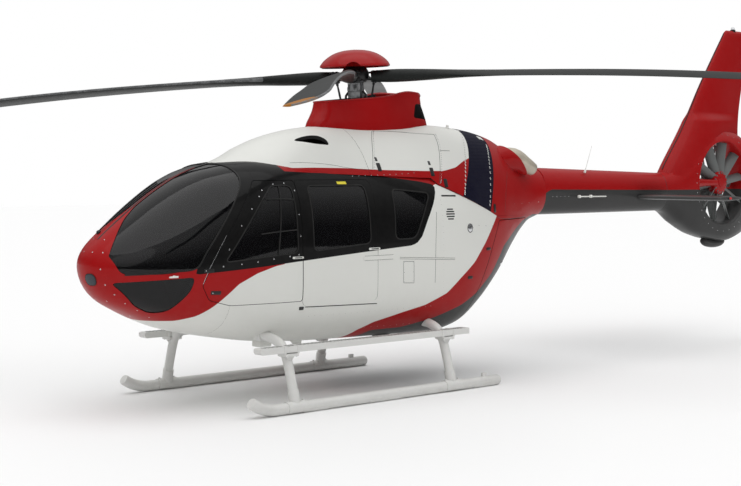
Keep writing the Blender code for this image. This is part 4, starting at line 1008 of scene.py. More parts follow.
def set_stage():
    """The floor, the soft light and the camera where the photograph was taken."""
    def build(bm):
        bmesh.ops.create_grid(bm, x_segments=1, y_segments=1, size=60.0)
    floor = bpy.data.objects.new("studio_floor", mesh_of(build))
    bpy.context.scene.collection.objects.link(floor)
    floor.data.materials.append(coated("studio_floor", (0.90, 0.90, 0.90), 0.9, 0.02, 4.0, 0.0, fade=0.0,
                                       shine=0.1))
    world = bpy.data.worlds.new("studio")
    bpy.context.scene.world = world
    world.use_nodes = True
    r = Recipe(world.node_tree)
    up = r.add("ShaderNodeSeparateXYZ", {0: r.add("ShaderNodeTexCoord").outputs["Generated"]}).outputs["Z"]
    sky = r.ramp(up, 0.10, 0.55, SKY_LOW, SKY_HIGH)
    seen = r.add("ShaderNodeLightPath").outputs["Is Camera Ray"]
    strength = r.math("MAXIMUM", sky, seen)
    r.tree.links.new(strength, world.node_tree.nodes["Background"].inputs["Strength"])
    world.node_tree.nodes["Background"].inputs["Color"].default_value = (1.0, 1.0, 1.0, 1.0)
    bpy.context.scene.view_settings.view_transform = "Standard"
    for name, aim, spread, power in (("over_light", (-0.10, -0.15, -1.0), 75.0, 1.34),
                                     ("front_light", (-0.70, -0.60, -0.42), 40.0, 0.20)):
        light = bpy.data.lights.new(name, "SUN")
        light.angle = math.radians(spread)
        light.energy = power
        lamp = bpy.data.objects.new(name, light)
        lamp.rotation_euler = Vector(aim).to_track_quat("-Z", "Y").to_euler()
        bpy.context.scene.collection.objects.link(lamp)
    lens = bpy.data.cameras.new("photo_camera")
    lens.lens = LENS_MM
    lens.sensor_width = 36.0
    camera = bpy.data.objects.new("photo_camera", lens)
    camera.location = CAMERA_PLACE
    level = math.cos(CAMERA_PITCH)
    look = Vector((level * math.cos(CAMERA_YAW), level * math.sin(CAMERA_YAW), math.sin(CAMERA_PITCH)))
    camera.rotation_euler = look.to_track_quat("-Z", "Y").to_euler()
    bpy.context.scene.collection.objects.link(camera)
    bpy.context.scene.camera = camera


# Fuselage
PAINTED_BODY = {"white": WHITE_SIDE, "black": BLACK_BAND, "grey": GREY_BELLY}


def body_piece(name, region, front, back, cuts=(), wall=WALL, body="airframe"):
    """A walled piece of the fuselage inside a region, painted outside and lined within; the dark lining on
    its cut edges is painted shade in the panel gaps.
    """
    room = skin_mesh(BODY, wall, min(front + 0.1, 3.16), max(back - 0.1, TAIL_JOINT_X))
    mesh = shaped(skin_mesh(BODY, 0.0, front, back), ("INTERSECT", region), ("DIFFERENCE", room),
                  *[("DIFFERENCE", cut) for cut in cuts])
    paint_fields(split_faces(mesh), **PAINTED_BODY)
    return piece(name, mesh, body, [LIVERY, LINING_AND_SHADE], [name])


def pane(name, outline, front, back, side, body="airframe", inner=0.3, region=None):
    region = region or side_prism(outline, side, inner)
    room = skin_mesh(BODY, GLASS_IN, min(front + 0.1, 3.16), back - 0.1)
    mesh = shaped(skin_mesh(BODY, GLASS_OUT, front, back), ("INTERSECT", region), ("DIFFERENCE", room))
    return piece(name, mesh, body, GLASS, [name])


def windshield_region(outline, side, inner, grow):
    """One windshield's outline through one side, less the nose bridge made wider by a growth."""
    half = [(x, value_at(x, NOSE_BRIDGE) + grow) for x in np.linspace(3.40, 2.64, 60)]
    plan = half + [(x, -y) for x, y in reversed(half)]
    bridge = ring_mesh([[(x, y, z) for x, y in plan] for z in (1.1, 2.6)])
    return shaped(side_prism(rounded(outline, 0.06), side, inner), ("DIFFERENCE", bridge))


def door_cut(outline, side, gap=DOOR_GAP, radius=0.03, inner=0.05):
    return side_prism(rounded(grown(outline, gap), radius), side, inner)


def make_fuselage():
    nose_cuts, cabin_cuts, rear_cuts = [], [], []
    clams = {}
    for label, side in SIDES:
        door = door_cut(FRONT_DOOR, side)
        nose_cuts += [windshield_region(WINDSHIELD, side, 0.022, 0.0),
                      side_prism(rounded(CHIN_PANE, 0.05), side, 0.13), door]
        slide = [(x, max(z, SILL_Z)) for x, z in grown(SLIDING_DOOR, 0.003)]
        cabin_cuts += [door, side_prism(rounded(slide, 0.05), side, 0.05),
                       side_prism(rounded(REAR_PANE, 0.07), side, 0.3)]
        hole = side_prism(rounded(grown(CLAMSHELL, RUN_GAP), 0.03), side, -0.01)
        region = side_prism(rounded(CLAMSHELL, 0.03), side, 0.004)
        for back, which in ((0.010, "hole"), (0.0, "region")):
            end = block((-2.0, -1.5, 0.9), (0.0, 1.5, 2.2))
            end.transform(Matrix.Translation((-1.92 - back, 0, 0))
                          @ Matrix.Rotation(side * math.radians(45.0), 4, "Z"))
            if which == "hole":
                hole = shaped(hole, ("DIFFERENCE", end))
            else:
                region = shaped(region, ("DIFFERENCE", end))
        rear_cuts.append(hole)
        clams[label] = region
    nose_region = prism(((3.4, 0.2), (3.4, 2.6), *NOSE_SEAM), -1.2, 1.2)
    body_piece("nose_shell", nose_region, 3.16, 1.70, nose_cuts)
    seam = [(x - 0.001, z) for x, z in NOSE_SEAM]
    cabin_region = prism((*seam, (CABIN_REAR_X, 0.2), (CABIN_REAR_X, 2.6)), -1.2, 1.2)
    body_piece("cabin_shell", cabin_region, 2.20, -0.50, cabin_cuts)
    rear_region = prism(((CABIN_REAR_X - 0.001, 0.2), *[(x, z - 0.001) for x, z in COWL_LINE[1:]],
                         (-2.8, 0.2)),
                        -1.2, 1.2)
    body_piece("rear_shell", rear_region, -0.38, TAIL_JOINT_X, rear_cuts)
    for label, side in SIDES:
        pane(f"windshield_{label}", WINDSHIELD, 3.16, 1.75, side,
             region=windshield_region(grown(WINDSHIELD, -0.001), side, 0.023, 0.001))
        pane(f"chin_window_{label}", rounded(grown(CHIN_PANE, -0.001), 0.05), 3.16, 2.35, side, inner=0.131)
        pane(f"rear_window_{label}", rounded(grown(REAR_PANE, -0.001), 0.07), 0.25, -0.42, side)
        door_body = f"door_front_{label}"
        region = side_prism(rounded(FRONT_DOOR, 0.03), side)
        hole = side_prism(rounded(FRONT_DOOR_PANE, 0.06), side)
        body_piece(f"front_door_{label}", region, 2.45, 1.25, [hole], DOOR_WALL, door_body)
        pane(f"front_door_window_{label}", rounded(grown(FRONT_DOOR_PANE, -0.001), 0.06), 2.25, 1.35, side,
             door_body)
        region = side_prism(rounded(SLIDING_DOOR, 0.05), side)
        hole = side_prism(rounded(SLIDING_PANE, 0.06), side)
        body_piece(f"sliding_door_{label}", region, 1.40, 0.35, [hole], DOOR_WALL)
        pane(f"sliding_door_window_{label}", rounded(grown(SLIDING_PANE, -0.001), 0.06), 1.28, 0.44, side)
        body_piece(f"clamshell_door_{label}", clams[label], -0.80, -2.36, (), WALL, f"door_clam_{label}")


# Hoods over the roof
PYLON_X = -0.17
# Where the hoods meet, front to back: (x at z 1.0, x at z 3.2)
COWL_SEAMS = ((1.84, 1.84), (0.35, 0.35), (-0.30, -1.591), (-1.007, -1.849), (-2.66, -2.66))
SCOOP = ((1.046, 0.274), (0.936, 0.252), (0.80, 0.254), (0.714, 0.286), (0.676, 0.344), (0.689, 0.396),
         (0.813, 0.372), (0.936, 0.326))
SEAM_GAP = 0.003
EXHAUST_ROOM = 0.004
COLLAR_WALL = 0.022
COLLAR_SIDE = ((-1.45, 1.90), (-2.406, 1.90), (-1.641, 2.60), (-1.45, 2.60))


def make_cowls():
    inner = skin_mesh(COWL, COWL_WALL, 1.79)
    roof = shaped(skin_mesh(BODY, -0.0003, 3.16), ("INTERSECT",
                                                   block((CABIN_REAR_X, -1, 0.3), (3.3, 1, 2.5))))
    well = placed(turned(((0, -0.4), (1, -0.4), (1, 0.4), (0, 0.4)), 64),
                  Matrix.Translation((PYLON_X, 0, 2.7)) @ Matrix.Diagonal((0.60, 0.20, 1, 1)))
    above = (*COWL_LINE, (-2.9, 3.0), (1.84, 3.0))
    scoops = [ring_mesh([[(x, side * y, z) for x, y in rounded(SCOOP, 0.05, 4)] for z in (2.395, 2.58)])
              for _, side in SIDES]
    for name, seam, side, cuts in (("cowl_front", 0, 0, [well, *scoops]), ("cowl_left", 1, 1.0, [well]),
                                   ("cowl_right", 1, -1.0, [well]), ("intake_screen", 2, 0, []),
                                   ("cowl_rear", 3, 0, [])):
        low, high = (-1.2, 1.2) if side == 0 else sorted((side * 0.0015, side * 1.2))
        (low_front, high_front), (low_back, high_back) = COWL_SEAMS[seam], COWL_SEAMS[seam + 1]
        ends = ((low_back + SEAM_GAP, 1.0), (low_front, 1.0), (high_front, 3.2), (high_back + SEAM_GAP, 3.2))
        region = shaped(prism(above, low, high), ("INTERSECT", prism(ends, -2, 2)))
        mesh = shaped(skin_mesh(COWL, 0.0, 1.79), ("INTERSECT", region), ("DIFFERENCE", inner),
                      ("DIFFERENCE", roof), *[("DIFFERENCE", cut) for cut in cuts])
        if name == "cowl_rear":
            for _, way_side in SIDES:
                path, radii = exhaust_path(way_side), exhaust_radii()
                past = path[-1] + along(path, len(path) - 1) * 0.10
                collar = sweep([*path[4:], past],
                               [r + EXHAUST_ROOM + COLLAR_WALL for r in radii[4:] + radii[-1:]], 56)
                way = sweep([*path, past], [r + EXHAUST_ROOM for r in radii + radii[-1:]], 56)
                mesh = shaped(mesh, ("UNION", shaped(collar, ("INTERSECT", prism(COLLAR_SIDE, -1.0, 1.0)))),
                              ("DIFFERENCE", way))
        # The faces off the outer skin, cut edges among them, take the dark lining: painted shade in the seams
        # between hoods
        if name == "intake_screen":
            piece(name, split_faces(mesh, COWL), "airframe", [SCREEN, LINING_AND_SHADE], [name])
        else:
            paint_fields(split_faces(mesh, COWL), white=WHITE_COWL)
            piece(name, mesh, "airframe", [LIVERY, LINING_AND_SHADE], [name])


def exhaust_path(side):
    return bent([(x, side * y, z) for x, y, z, _ in EXHAUST_LINE], 4)


EXHAUST_LINE = ((-1.5003, 0.23, 2.16, 0.100), (-1.62, 0.235, 2.20, 0.100), (-1.80, 0.26, 2.275, 0.115),
                (-2.02, 0.30, 2.285, 0.112), (-2.18, 0.318, 2.222, 0.090), (-2.31, 0.328, 2.165, 0.066))


def exhaust_radii():
    places = np.linspace(0, len(EXHAUST_LINE) - 1, (len(EXHAUST_LINE) - 1) * 4 + 1)
    return [float(r) for r in np.interp(places, range(len(EXHAUST_LINE)), [p[3] for p in EXHAUST_LINE])]


# Fairing round the mast
PYLON_SHAPE = ((0.82, 0.275, 2.45, 0.0), (0.79, 0.27, 2.62, 0.02), (0.745, 0.262, 2.72, 0.05),
               (0.705, 0.255, 2.81, 0.07), (0.69, 0.25, 2.885, 0.09))


def pylon_ring(level, inward, lift=0.0, around=96):
    """An oval round the fairing at a level from 0 at its foot to 4 at its rim, whose rim waves."""
    knots = [[(i, shape[k]) for i, shape in enumerate(PYLON_SHAPE)] for k in range(4)]
    length, width, height, slope = (value_at(level, k) for k in knots)
    ring = []
    for i in range(around):
        a = 2 * math.pi * i / around
        x, y = (length - inward) * math.cos(a), (width - inward) * math.sin(a)
        wave = 0.034 * math.exp(-((x + 0.32) / 0.22) ** 2) * (level / 4) ** 2
        drop = 0.045 * max(0.0, (-x - 0.55) / 0.14) ** 2 * (level / 4) ** 3
        ring.append((PYLON_X + x, y, height + lift - slope * x + wave - drop))
    return ring


def make_pylon():
    outer = [pylon_ring(level, 0.0) for level in np.linspace(0, 4, 28)]
    rim = [pylon_ring(4, -0.006, 0.002), pylon_ring(4, -0.009, 0.008), pylon_ring(4, -0.005, 0.013),
           pylon_ring(4, 0.004, 0.014), pylon_ring(4, 0.012, 0.009)]
    inner = [pylon_ring(level, 0.020) for level in np.linspace(4, 0, 16)]
    inner.append([(x, y, 2.40) for x, y, _ in inner[-1]])
    shell = ring_mesh(outer + rim + inner, loop=True)
    seat = skin_mesh(COWL, -0.0005, 1.79)
    outlets = []
    for _, side in SIDES:
        slot = prism(rounded(((-0.14, -0.09), (0.12, -0.07), (0.10, 0.075), (-0.12, 0.08)), 0.03), -0.16,
                     0.16)
        slot.transform(Matrix.Translation((PYLON_X - 0.60, side * 0.20, 2.765))
                       @ Matrix.Rotation(side * math.radians(-38.0), 4, "Z"))
        outlets.append(slot)
    mesh = shaped(shell, ("DIFFERENCE", seat), *[("DIFFERENCE", slot) for slot in outlets])
    # Inner faces below the rim take the dark lining: partly painted shade in the fairing's well
    inside = []
    for face in mesh.polygons:
        x, y = (face.center.x - PYLON_X), face.center.y
        inside.append(1 if face.normal.x * x + face.normal.y * y < 0 and face.center.z < 2.93 else 0)
    mesh.polygons.foreach_set("material_index", inside)
    piece("pylon_fairing", mesh, "airframe", [RED_PAINT, LINING_AND_SHADE], ["pylon_fairing"])


# Exhausts
def make_exhausts():
    radii = exhaust_radii()
    for label, side in SIDES:
        path = exhaust_path(side)
        ahead = (path[-1] - path[-2]).normalized()
        outer = sweep(path, radii, 40)
        bore = sweep(path[11:] + [path[-1] + ahead * 0.05],
                     [r - 0.006 for r in radii[11:]] + [radii[-1] - 0.006], 40)
        bead = ring_mesh([[tuple(path[-1] - ahead * (0.006 - 0.005 * math.sin(t))
                                 + p * (radii[-1] + 0.003 * math.cos(t)))
                           for p in around_axis(ahead, 40)] for t in np.linspace(0, 2 * math.pi, 9)[:-1]],
                           loop=True)
        mesh = shaped(outer, ("DIFFERENCE", bore))
        collars = [ring_mesh([[tuple(path[k] + along(path, k) * shift + p * (radii[k] + grow))
                               for p in around_axis(along(path, k), 40)]
                              for shift, grow in ((-0.012, 0.0005), (-0.009, 0.004), (0.009, 0.004),
                                                  (0.012, 0.0005))])
                   for k in (2, 6)]
        mesh = joined(mesh, bead, *collars)
        piece(f"exhaust_{label}", mesh, "airframe", EXHAUST, [f"exhaust_{label}"], 40)


def along(path, k):
    return (path[min(k + 1, len(path) - 1)] - path[max(k - 1, 0)]).normalized()


def around_axis(axis, sides):
    """Unit directions round an axis."""
    turn = axis.to_track_quat("Z", "Y")
    return [turn @ Vector((math.cos(a), math.sin(a),
                           0.0)) for a in (2 * math.pi * k / sides for k in range(sides))]


# Main rotor
ROTOR_RADIUS = 5.20
ROTOR_AZIMUTH = math.radians(45.0)
HUB_Z = 3.10
HEAD = Matrix.Translation((0.0, 0.0, HUB_Z)) @ Matrix.Rotation(math.radians(2.9), 4, "Y")
BLADE_CHORD = 0.288
BLADE_DROOP = 0.285
ROOT_REACH = 0.16
BLADE_PITCH = ((ROOT_REACH, 8.0), (1.2, 10.0), (2.4, 12.5), (3.7, 14.0), (4.5, 10.0), (ROTOR_RADIUS, 5.0))
CHORDS = ((0.16, 0.14), (0.45, 0.16), (0.80, 0.18), (1.15, 0.25), (1.35, BLADE_CHORD), (4.55, BLADE_CHORD),
          (4.80, 0.265), (4.98, 0.215), (5.10, 0.15), (ROTOR_RADIUS, 0.07))
DEPTHS = ((0.16, 0.112), (0.40, 0.130), (0.70, 0.112), (1.10, 0.072), (1.50, 0.045), (2.20, 0.036),
          (4.90, 0.030), (5.20, 0.014))
MAST_RADIUS = 0.058


def foil(count=16):
    """Unit airfoil points as (back, up), round from the trailing edge over the top to it again."""
    t = (1 - np.cos(np.linspace(0, np.pi, count + 1))) / 2
    half = 5 * (0.2969 * np.sqrt(t) - 0.126 * t - 0.3516 * t ** 2 + 0.2843 * t ** 3 - 0.1015 * t ** 4)
    upper = [(a, b) for a, b in zip(t, half)]
    return upper[::-1] + [(a, -b) for a, b in upper[1:]]


def blade_rings(reaches):
    rings, tips, leads = [], [], []
    shape = foil()
    for reach in reaches:
        chord, depth = value_at(reach, CHORDS), value_at(reach, DEPTHS)
        twist = math.radians(value_at(reach, BLADE_PITCH))
        droop = BLADE_DROOP * (reach / ROTOR_RADIUS) ** 2.6
        lead = chord - 0.75 * BLADE_CHORD if reach > 4.55 else 0.25 * chord
        oval = 1 - min(max((reach - 0.75) / 0.75, 0), 1)
        ring = []
        for k, (back, up) in enumerate(shape):
            angle = math.pi * 2 * k / (len(shape) - 1)
            flat = (back * chord, up * depth + (0.0012 if k < 16 else -0.0012))
            round_ = ((0.5 + 0.5 * math.cos(angle)) * chord, 0.5 * math.sin(angle) * depth)
            b = round_[0] * oval + flat[0] * (1 - oval)
            u = round_[1] * oval + flat[1] * (1 - oval)
            y = lead - b
            ring.append((reach, y * math.cos(twist) - u * math.sin(twist),
                         y * math.sin(twist) + u * math.cos(twist) - droop))
            tips.append(reach - 4.96 - 0.9 * b)
            leads.append(0.012 - b if reach > 0.9 else -0.05)
        rings.append(ring)
    return rings, tips, leads


def blade_mesh():
    reaches = [0.16, 0.165, 0.18] + list(np.linspace(0.21, 1.5, 26)) + list(np.linspace(1.6, 4.5, 30)) + \
        list(np.linspace(4.55, 5.19, 33)) + [ROTOR_RADIUS]
    rings, tips, leads = blade_rings(reaches)
    mesh = ring_mesh(rings)
    for name, values in (("tip_field", tips), ("lead_field", leads)):
        made = mesh.attributes.new(name, "FLOAT", "POINT")
        made.data.foreach_set("value", np.array(values, np.float32))
    return mesh


def make_rotor():
    blade = blade_mesh()
    for number in range(4):
        turn = Matrix.Rotation(ROTOR_AZIMUTH + number * math.pi / 2, 4, "Z")
        piece(f"rotor_blade_{number + 1}", blade.copy(), "main_rotor", BLADE,
              [f"rotor_blade_{number + 1}"], 50, HOME @ HEAD @ turn)
    rotor_place = HOME @ HEAD
    mast = turned(((0, -0.44), (0.052, -0.44), (0.058, -0.434), (0.058, -0.20), (0.064, -0.195),
                   (0.064, -0.17),
                   (0.058, -0.165), (0.058, -0.065), (0, -0.065)), 64)
    piece("rotor_mast", mast, "main_rotor", METAL, ["rotor_mast"], 35, rotor_place)
    drum = turned(((0, -0.062), (0.086, -0.062), (0.104, -0.058), (0.124, -0.040), (0.136, -0.010),
                   (0.138, 0.020), (0.132, 0.050), (0.116, 0.080), (0.096, 0.098), (0.0, 0.100)), 72)
    sleeve = turned(((0.0620, -0.064), (0.0620, -0.215), (0.072, -0.220), (0.080, -0.215), (0.082, -0.180),
                     (0.078, -0.172), (0.078, -0.150), (0.086, -0.142), (0.086, -0.110), (0.080, -0.100),
                     (0.080, -0.070), (0.086, -0.064)), 72, True)
    sleeve.polygons.foreach_set("material_index", [1] * len(sleeve.polygons))
    parts = [drum, sleeve]
    for k in range(4):
        turn = Matrix.Rotation(ROTOR_AZIMUTH + k * math.pi / 2, 4, "Z")
        for level in (-0.043, 0.025):
            parts.append(placed(block((0.05, -0.060, level), (0.245, 0.060, level + 0.018), 0.006, 3), turn))
        for reach in (0.185, 0.222):
            for across in (-0.032, 0.032):
                parts.append(placed(bolt(0.011, 0.012), turn @ Matrix.Translation((reach, across, 0.043))))
                parts.append(placed(bolt(0.011, 0.012), turn @ Matrix.Translation((reach, across, -0.043))
                                    @ Matrix.Rotation(math.pi, 4, "X")))
    piece("rotor_hub", joined(*parts), "main_rotor", [BLACK_TRIM, METAL], ["rotor_hub"], 35,
          rotor_place)
    profile = bent(((0.0, 0.0, 0.268), (0.12, 0.0, 0.257), (0.22, 0.0, 0.226), (0.30, 0.0, 0.174),
                    (0.345, 0.0, 0.125), (0.357, 0.0, 0.100)), 6)
    outer = [(max(p.x, 0.0), p.z) for p in profile]
    under = [(max(r - 0.012, 0.0), z - 0.012) for r, z in outer[::-1]]
    under[0] = (0.345, 0.098)
    cap = turned([*outer, (0.352, 0.096), *under], 96)
    notches = [placed(sweep([(0.20, 0, 0), (0.45, 0, 0)], 0.085, 40),
                      Matrix.Rotation(ROTOR_AZIMUTH + k * math.pi / 2, 4,
                                      "Z") @ Matrix.Translation((0, 0, 0.052)))
               for k in range(4)]
    cap = shaped(cap, *[("DIFFERENCE", notch) for notch in notches])
    post = turned(((0, 0.1003), (0.085, 0.1003), (0.080, 0.135), (0.060, 0.160), (0.060, 0.246), (0, 0.246)),
                  48)
    piece("hub_cap", joined(cap, post), "main_rotor", RED_PAINT, ["hub_cap"], 35, rotor_place)
    plate = turned(((MAST_RADIUS + 0.002, -0.275), (MAST_RADIUS + 0.002, -0.335), (0.105, -0.335),
                    (0.112, -0.330),
                    (0.112, -0.322), (0.138, -0.320), (0.146, -0.312), (0.146, -0.296), (0.138, -0.288),
                    (0.112, -0.286), (0.112, -0.280), (0.105, -0.275)), 72, True)
    parts = [plate]
    for k in range(4):
        turn = Matrix.Rotation(ROTOR_AZIMUTH + k * math.pi / 2 + math.radians(20.0), 4, "Z")
        low, high = Vector((0.148, 0, -0.300)), Vector((0.195, 0, -0.055))
        parts.append(placed(sweep([low, low.lerp(high, 0.12), low.lerp(high, 0.14), low.lerp(high, 0.5),
                                   low.lerp(high, 0.86), low.lerp(high, 0.88), high],
                                  [0.014, 0.014, 0.009, 0.011, 0.009, 0.014, 0.014], 20), turn))
        for end in (low, high):
            parts.append(placed(sweep([end - Vector((0, 0.018, 0)), end + Vector((0, 0.018, 0))], 0.019, 24),
                                turn))
        parts.append(placed(block((0.115, -0.016, -0.312), (0.150, 0.016, -0.294), 0.004), turn))
        parts.append(placed(block((0.185, -0.055, -0.070), (0.205, 0.02, -0.040), 0.006), turn))
    for k in range(2):
        turn = Matrix.Rotation(ROTOR_AZIMUTH + math.radians(65 + 180 * k), 4, "Z")
        parts.append(placed(sweep([(0.055, 0, -0.12), (0.115, 0, -0.19), (0.125, 0, -0.275)], 0.012, 16),
                            turn))
    piece("swashplate", joined(*parts), "main_rotor", DARK_METAL, ["swashplate"], 35,
          rotor_place)


def bolt(radius, height):
    """A six-sided head on a thin washer, standing on z 0."""
    head = turned(((0, 0), (radius * 1.15, 0), (radius * 1.15, height * 0.15), (radius, height * 0.15),
                   (radius, height * 0.85), (radius * 0.82, height), (0, height)), 6)
    washer = turned(((0, -0.001), (radius * 1.45, -0.001), (radius * 1.45, height * 0.12),
                     (0, height * 0.12)), 20)
    return joined(head, washer)


# Tail
BOOM_TOP = ((-2.65, 2.185), (-4.95, 2.118))
BOOM_BOTTOM = ((-2.65, 1.655), (-4.95, 1.655))
BOOM_HALF = ((-2.65, 0.220), (-4.95, 0.172))
FIN_BOTTOM = ((-4.95, 1.655), (-5.05, 1.635), (-5.35, 1.48), (-5.67, 1.345), (-5.95, 1.28), (-6.3, 1.24),
              (-6.6, 1.30), (-6.85, 1.45), (-7.0, 1.68), (-7.06, 1.90))
FIN_TOP = ((-4.95, 2.118), (-5.1, 2.125), (-5.25, 2.16), (-5.4, 2.26), (-5.6, 2.42), (-5.9, 2.60),
           (-6.2, 2.66), (-6.5, 2.63), (-6.8, 2.48), (-6.98, 2.25), (-7.06, 2.05))
FIN_HALF = ((-4.95, 0.172), (-5.2, 0.188), (-5.6, 0.215), (-6.1, 0.225), (-6.5, 0.20), (-6.8, 0.13),
            (-7.06, 0.035))
FIN_LEAD = ((2.00, -4.965), (2.20, -5.105), (2.65, -5.465), (3.22, -5.845), (3.94, -6.38))
FIN_TRAIL = ((2.00, -6.85), (2.20, -6.80), (2.65, -6.68), (3.94, -6.95))
FIN_THICKNESS = ((2.00, 0.21), (2.30, 0.23), (2.65, 0.26), (2.76, 0.26), (2.88, 0.16), (3.94, 0.14))
FAN_CENTRE = Vector((-6.13, 0.0, 1.99))
DUCT_RADIUS = 0.515
FAN_RADIUS = 0.500
STAB_Z = 1.83
PORTWARD = Matrix.Rotation(math.radians(-90.0), 4, "X")


def tube_ring(x, top, bottom, half, power, around=72):
    high, low, width = value_at(x, top), value_at(x, bottom), value_at(x, half)
    angle = np.linspace(0, 2 * np.pi, around, endpoint=False)
    across, rise = np.cos(angle), np.sin(angle)
    reach = ((np.abs(across) / width) ** power + (np.abs(rise) / ((high - low) / 2)) ** power) ** (-1 / power)
    return np.stack([np.full(around, x), across * reach, (high + low) / 2 + rise * reach], axis=1)


def fin_skin():
    xs = list(np.linspace(-4.952, -5.65, 40)) + list(np.linspace(-5.68, -6.95, 40)) + [-6.98, -7.0, -7.02,
                                                                                       -7.035, -7.047,
                                                                                       -7.055, -7.06]
    return ring_mesh([tube_ring(x, FIN_TOP, FIN_BOTTOM, FIN_HALF,
                                2.3 + 1.1 * min(max((-5.0 - x) / 0.3, 0), 1))
                      for x in xs])


def fin_blade():
    slices = []
    shape = foil(20)
    for height in [*np.linspace(2.0, 2.72, 16), *np.linspace(2.74, 2.90, 12), *np.linspace(2.95, 3.90, 22),
                   3.915,
                   3.928, 3.936, 3.94]:
        lead, trail = value_at(height, FIN_LEAD), value_at(height, FIN_TRAIL)
        draw = max(0.0, (height - 3.90) / 0.04) ** 2
        chord = (lead - trail) * (1 - 0.06 * draw)
        thick = value_at(height, FIN_THICKNESS) * (1 - 0.75 * draw)
        slices.append([(lead - 0.03 * draw * chord - back * chord,
                        up * thick * chord + (0.002 if k < 20 else -0.002),
                        height) for k, (back, up) in enumerate(shape)])
    return ring_mesh(slices)


def make_tail():
    boom = ring_mesh([tube_ring(x, BOOM_TOP, BOOM_BOTTOM, BOOM_HALF,
                                2.3) for x in np.linspace(-2.651, -4.949, 60)])
    boom = paint_fields(shaped(boom, ("DIFFERENCE", stabiliser_mesh(1.4, 0.001))), **PAINTED_BODY)
    piece("tail_boom", boom, "airframe", LIVERY, ["tail_boom"])
    mouth = [(DUCT_RADIUS, 0.0), (DUCT_RADIUS, 0.15), (DUCT_RADIUS + 0.008, 0.172),
             (DUCT_RADIUS + 0.022, 0.192),
             (DUCT_RADIUS + 0.045, 0.208), (DUCT_RADIUS + 0.075, 0.220), (0.67, 0.245), (0.67, 0.6),
             (0.0, 0.6)]
    profile = [(r, -h) for r, h in reversed(mouth[1:])] + mouth
    duct = placed(turned(profile, 120), Matrix.Translation(FAN_CENTRE) @ Matrix.Rotation(math.radians(90), 4,
                                                                                         "X"))
    fin = shaped(fin_skin(), ("UNION", fin_blade()), ("DIFFERENCE", duct))
    piece("tail_fin", paint_fields(fin, **PAINTED_BODY), "airframe", LIVERY, ["tail_fin"], 35)
    piece("stabiliser", stabiliser_mesh(1.325, 0.0), "airframe", GREY_PAINT, ["stabiliser"],
          45)
    bumper = bent(((-5.93, 0.0, 1.262), (-6.02, 0.0, 1.228), (-6.15, 0.0, 1.212), (-6.28, 0.0, 1.220),
                   (-6.38, 0.0, 1.250)), 8)
    sizes = [0.055 * math.sqrt(max(1 - (2 * k / (len(bumper) - 1) - 1) ** 6,
                                   0.05)) for k in range(len(bumper))]
    clear = ring_mesh([tube_ring(x, FIN_TOP, FIN_BOTTOM, FIN_HALF, 3.4) for x in np.linspace(-5.4, -6.95,
                                                                                             50)])
    piece("tail_bumper", shaped(sweep(bumper, sizes, 28), ("DIFFERENCE", clear)), "airframe", GREY_PAINT,
          ["tail_bumper"])
    make_fan()


def stabiliser_mesh(reach, grow):
    rings, shape = [], foil(18)
    spans = [*np.linspace(-reach, -reach + 0.03, 5), *np.linspace(-reach + 0.1, reach - 0.1, 20),
             *np.linspace(reach - 0.03, reach, 5)]
    for y in spans:
        near = max(0.0, (abs(y) - (reach - 0.03)) / 0.03)
        round_off = math.sqrt(max(1 - near ** 2, 0.02)) if not grow else 1.0
        lead = -4.335 - 0.05 * abs(y) + grow
        chord = 0.52 + 2 * grow
        rings.append([(lead - back * chord, y, STAB_Z + (up * 0.11 * chord + (0.0015 if k < 18 else -0.0015)
                                                         + math.copysign(grow, 17.5 - k)) * round_off)
                      for k, (back, up) in enumerate(shape)])
    return ring_mesh(rings)


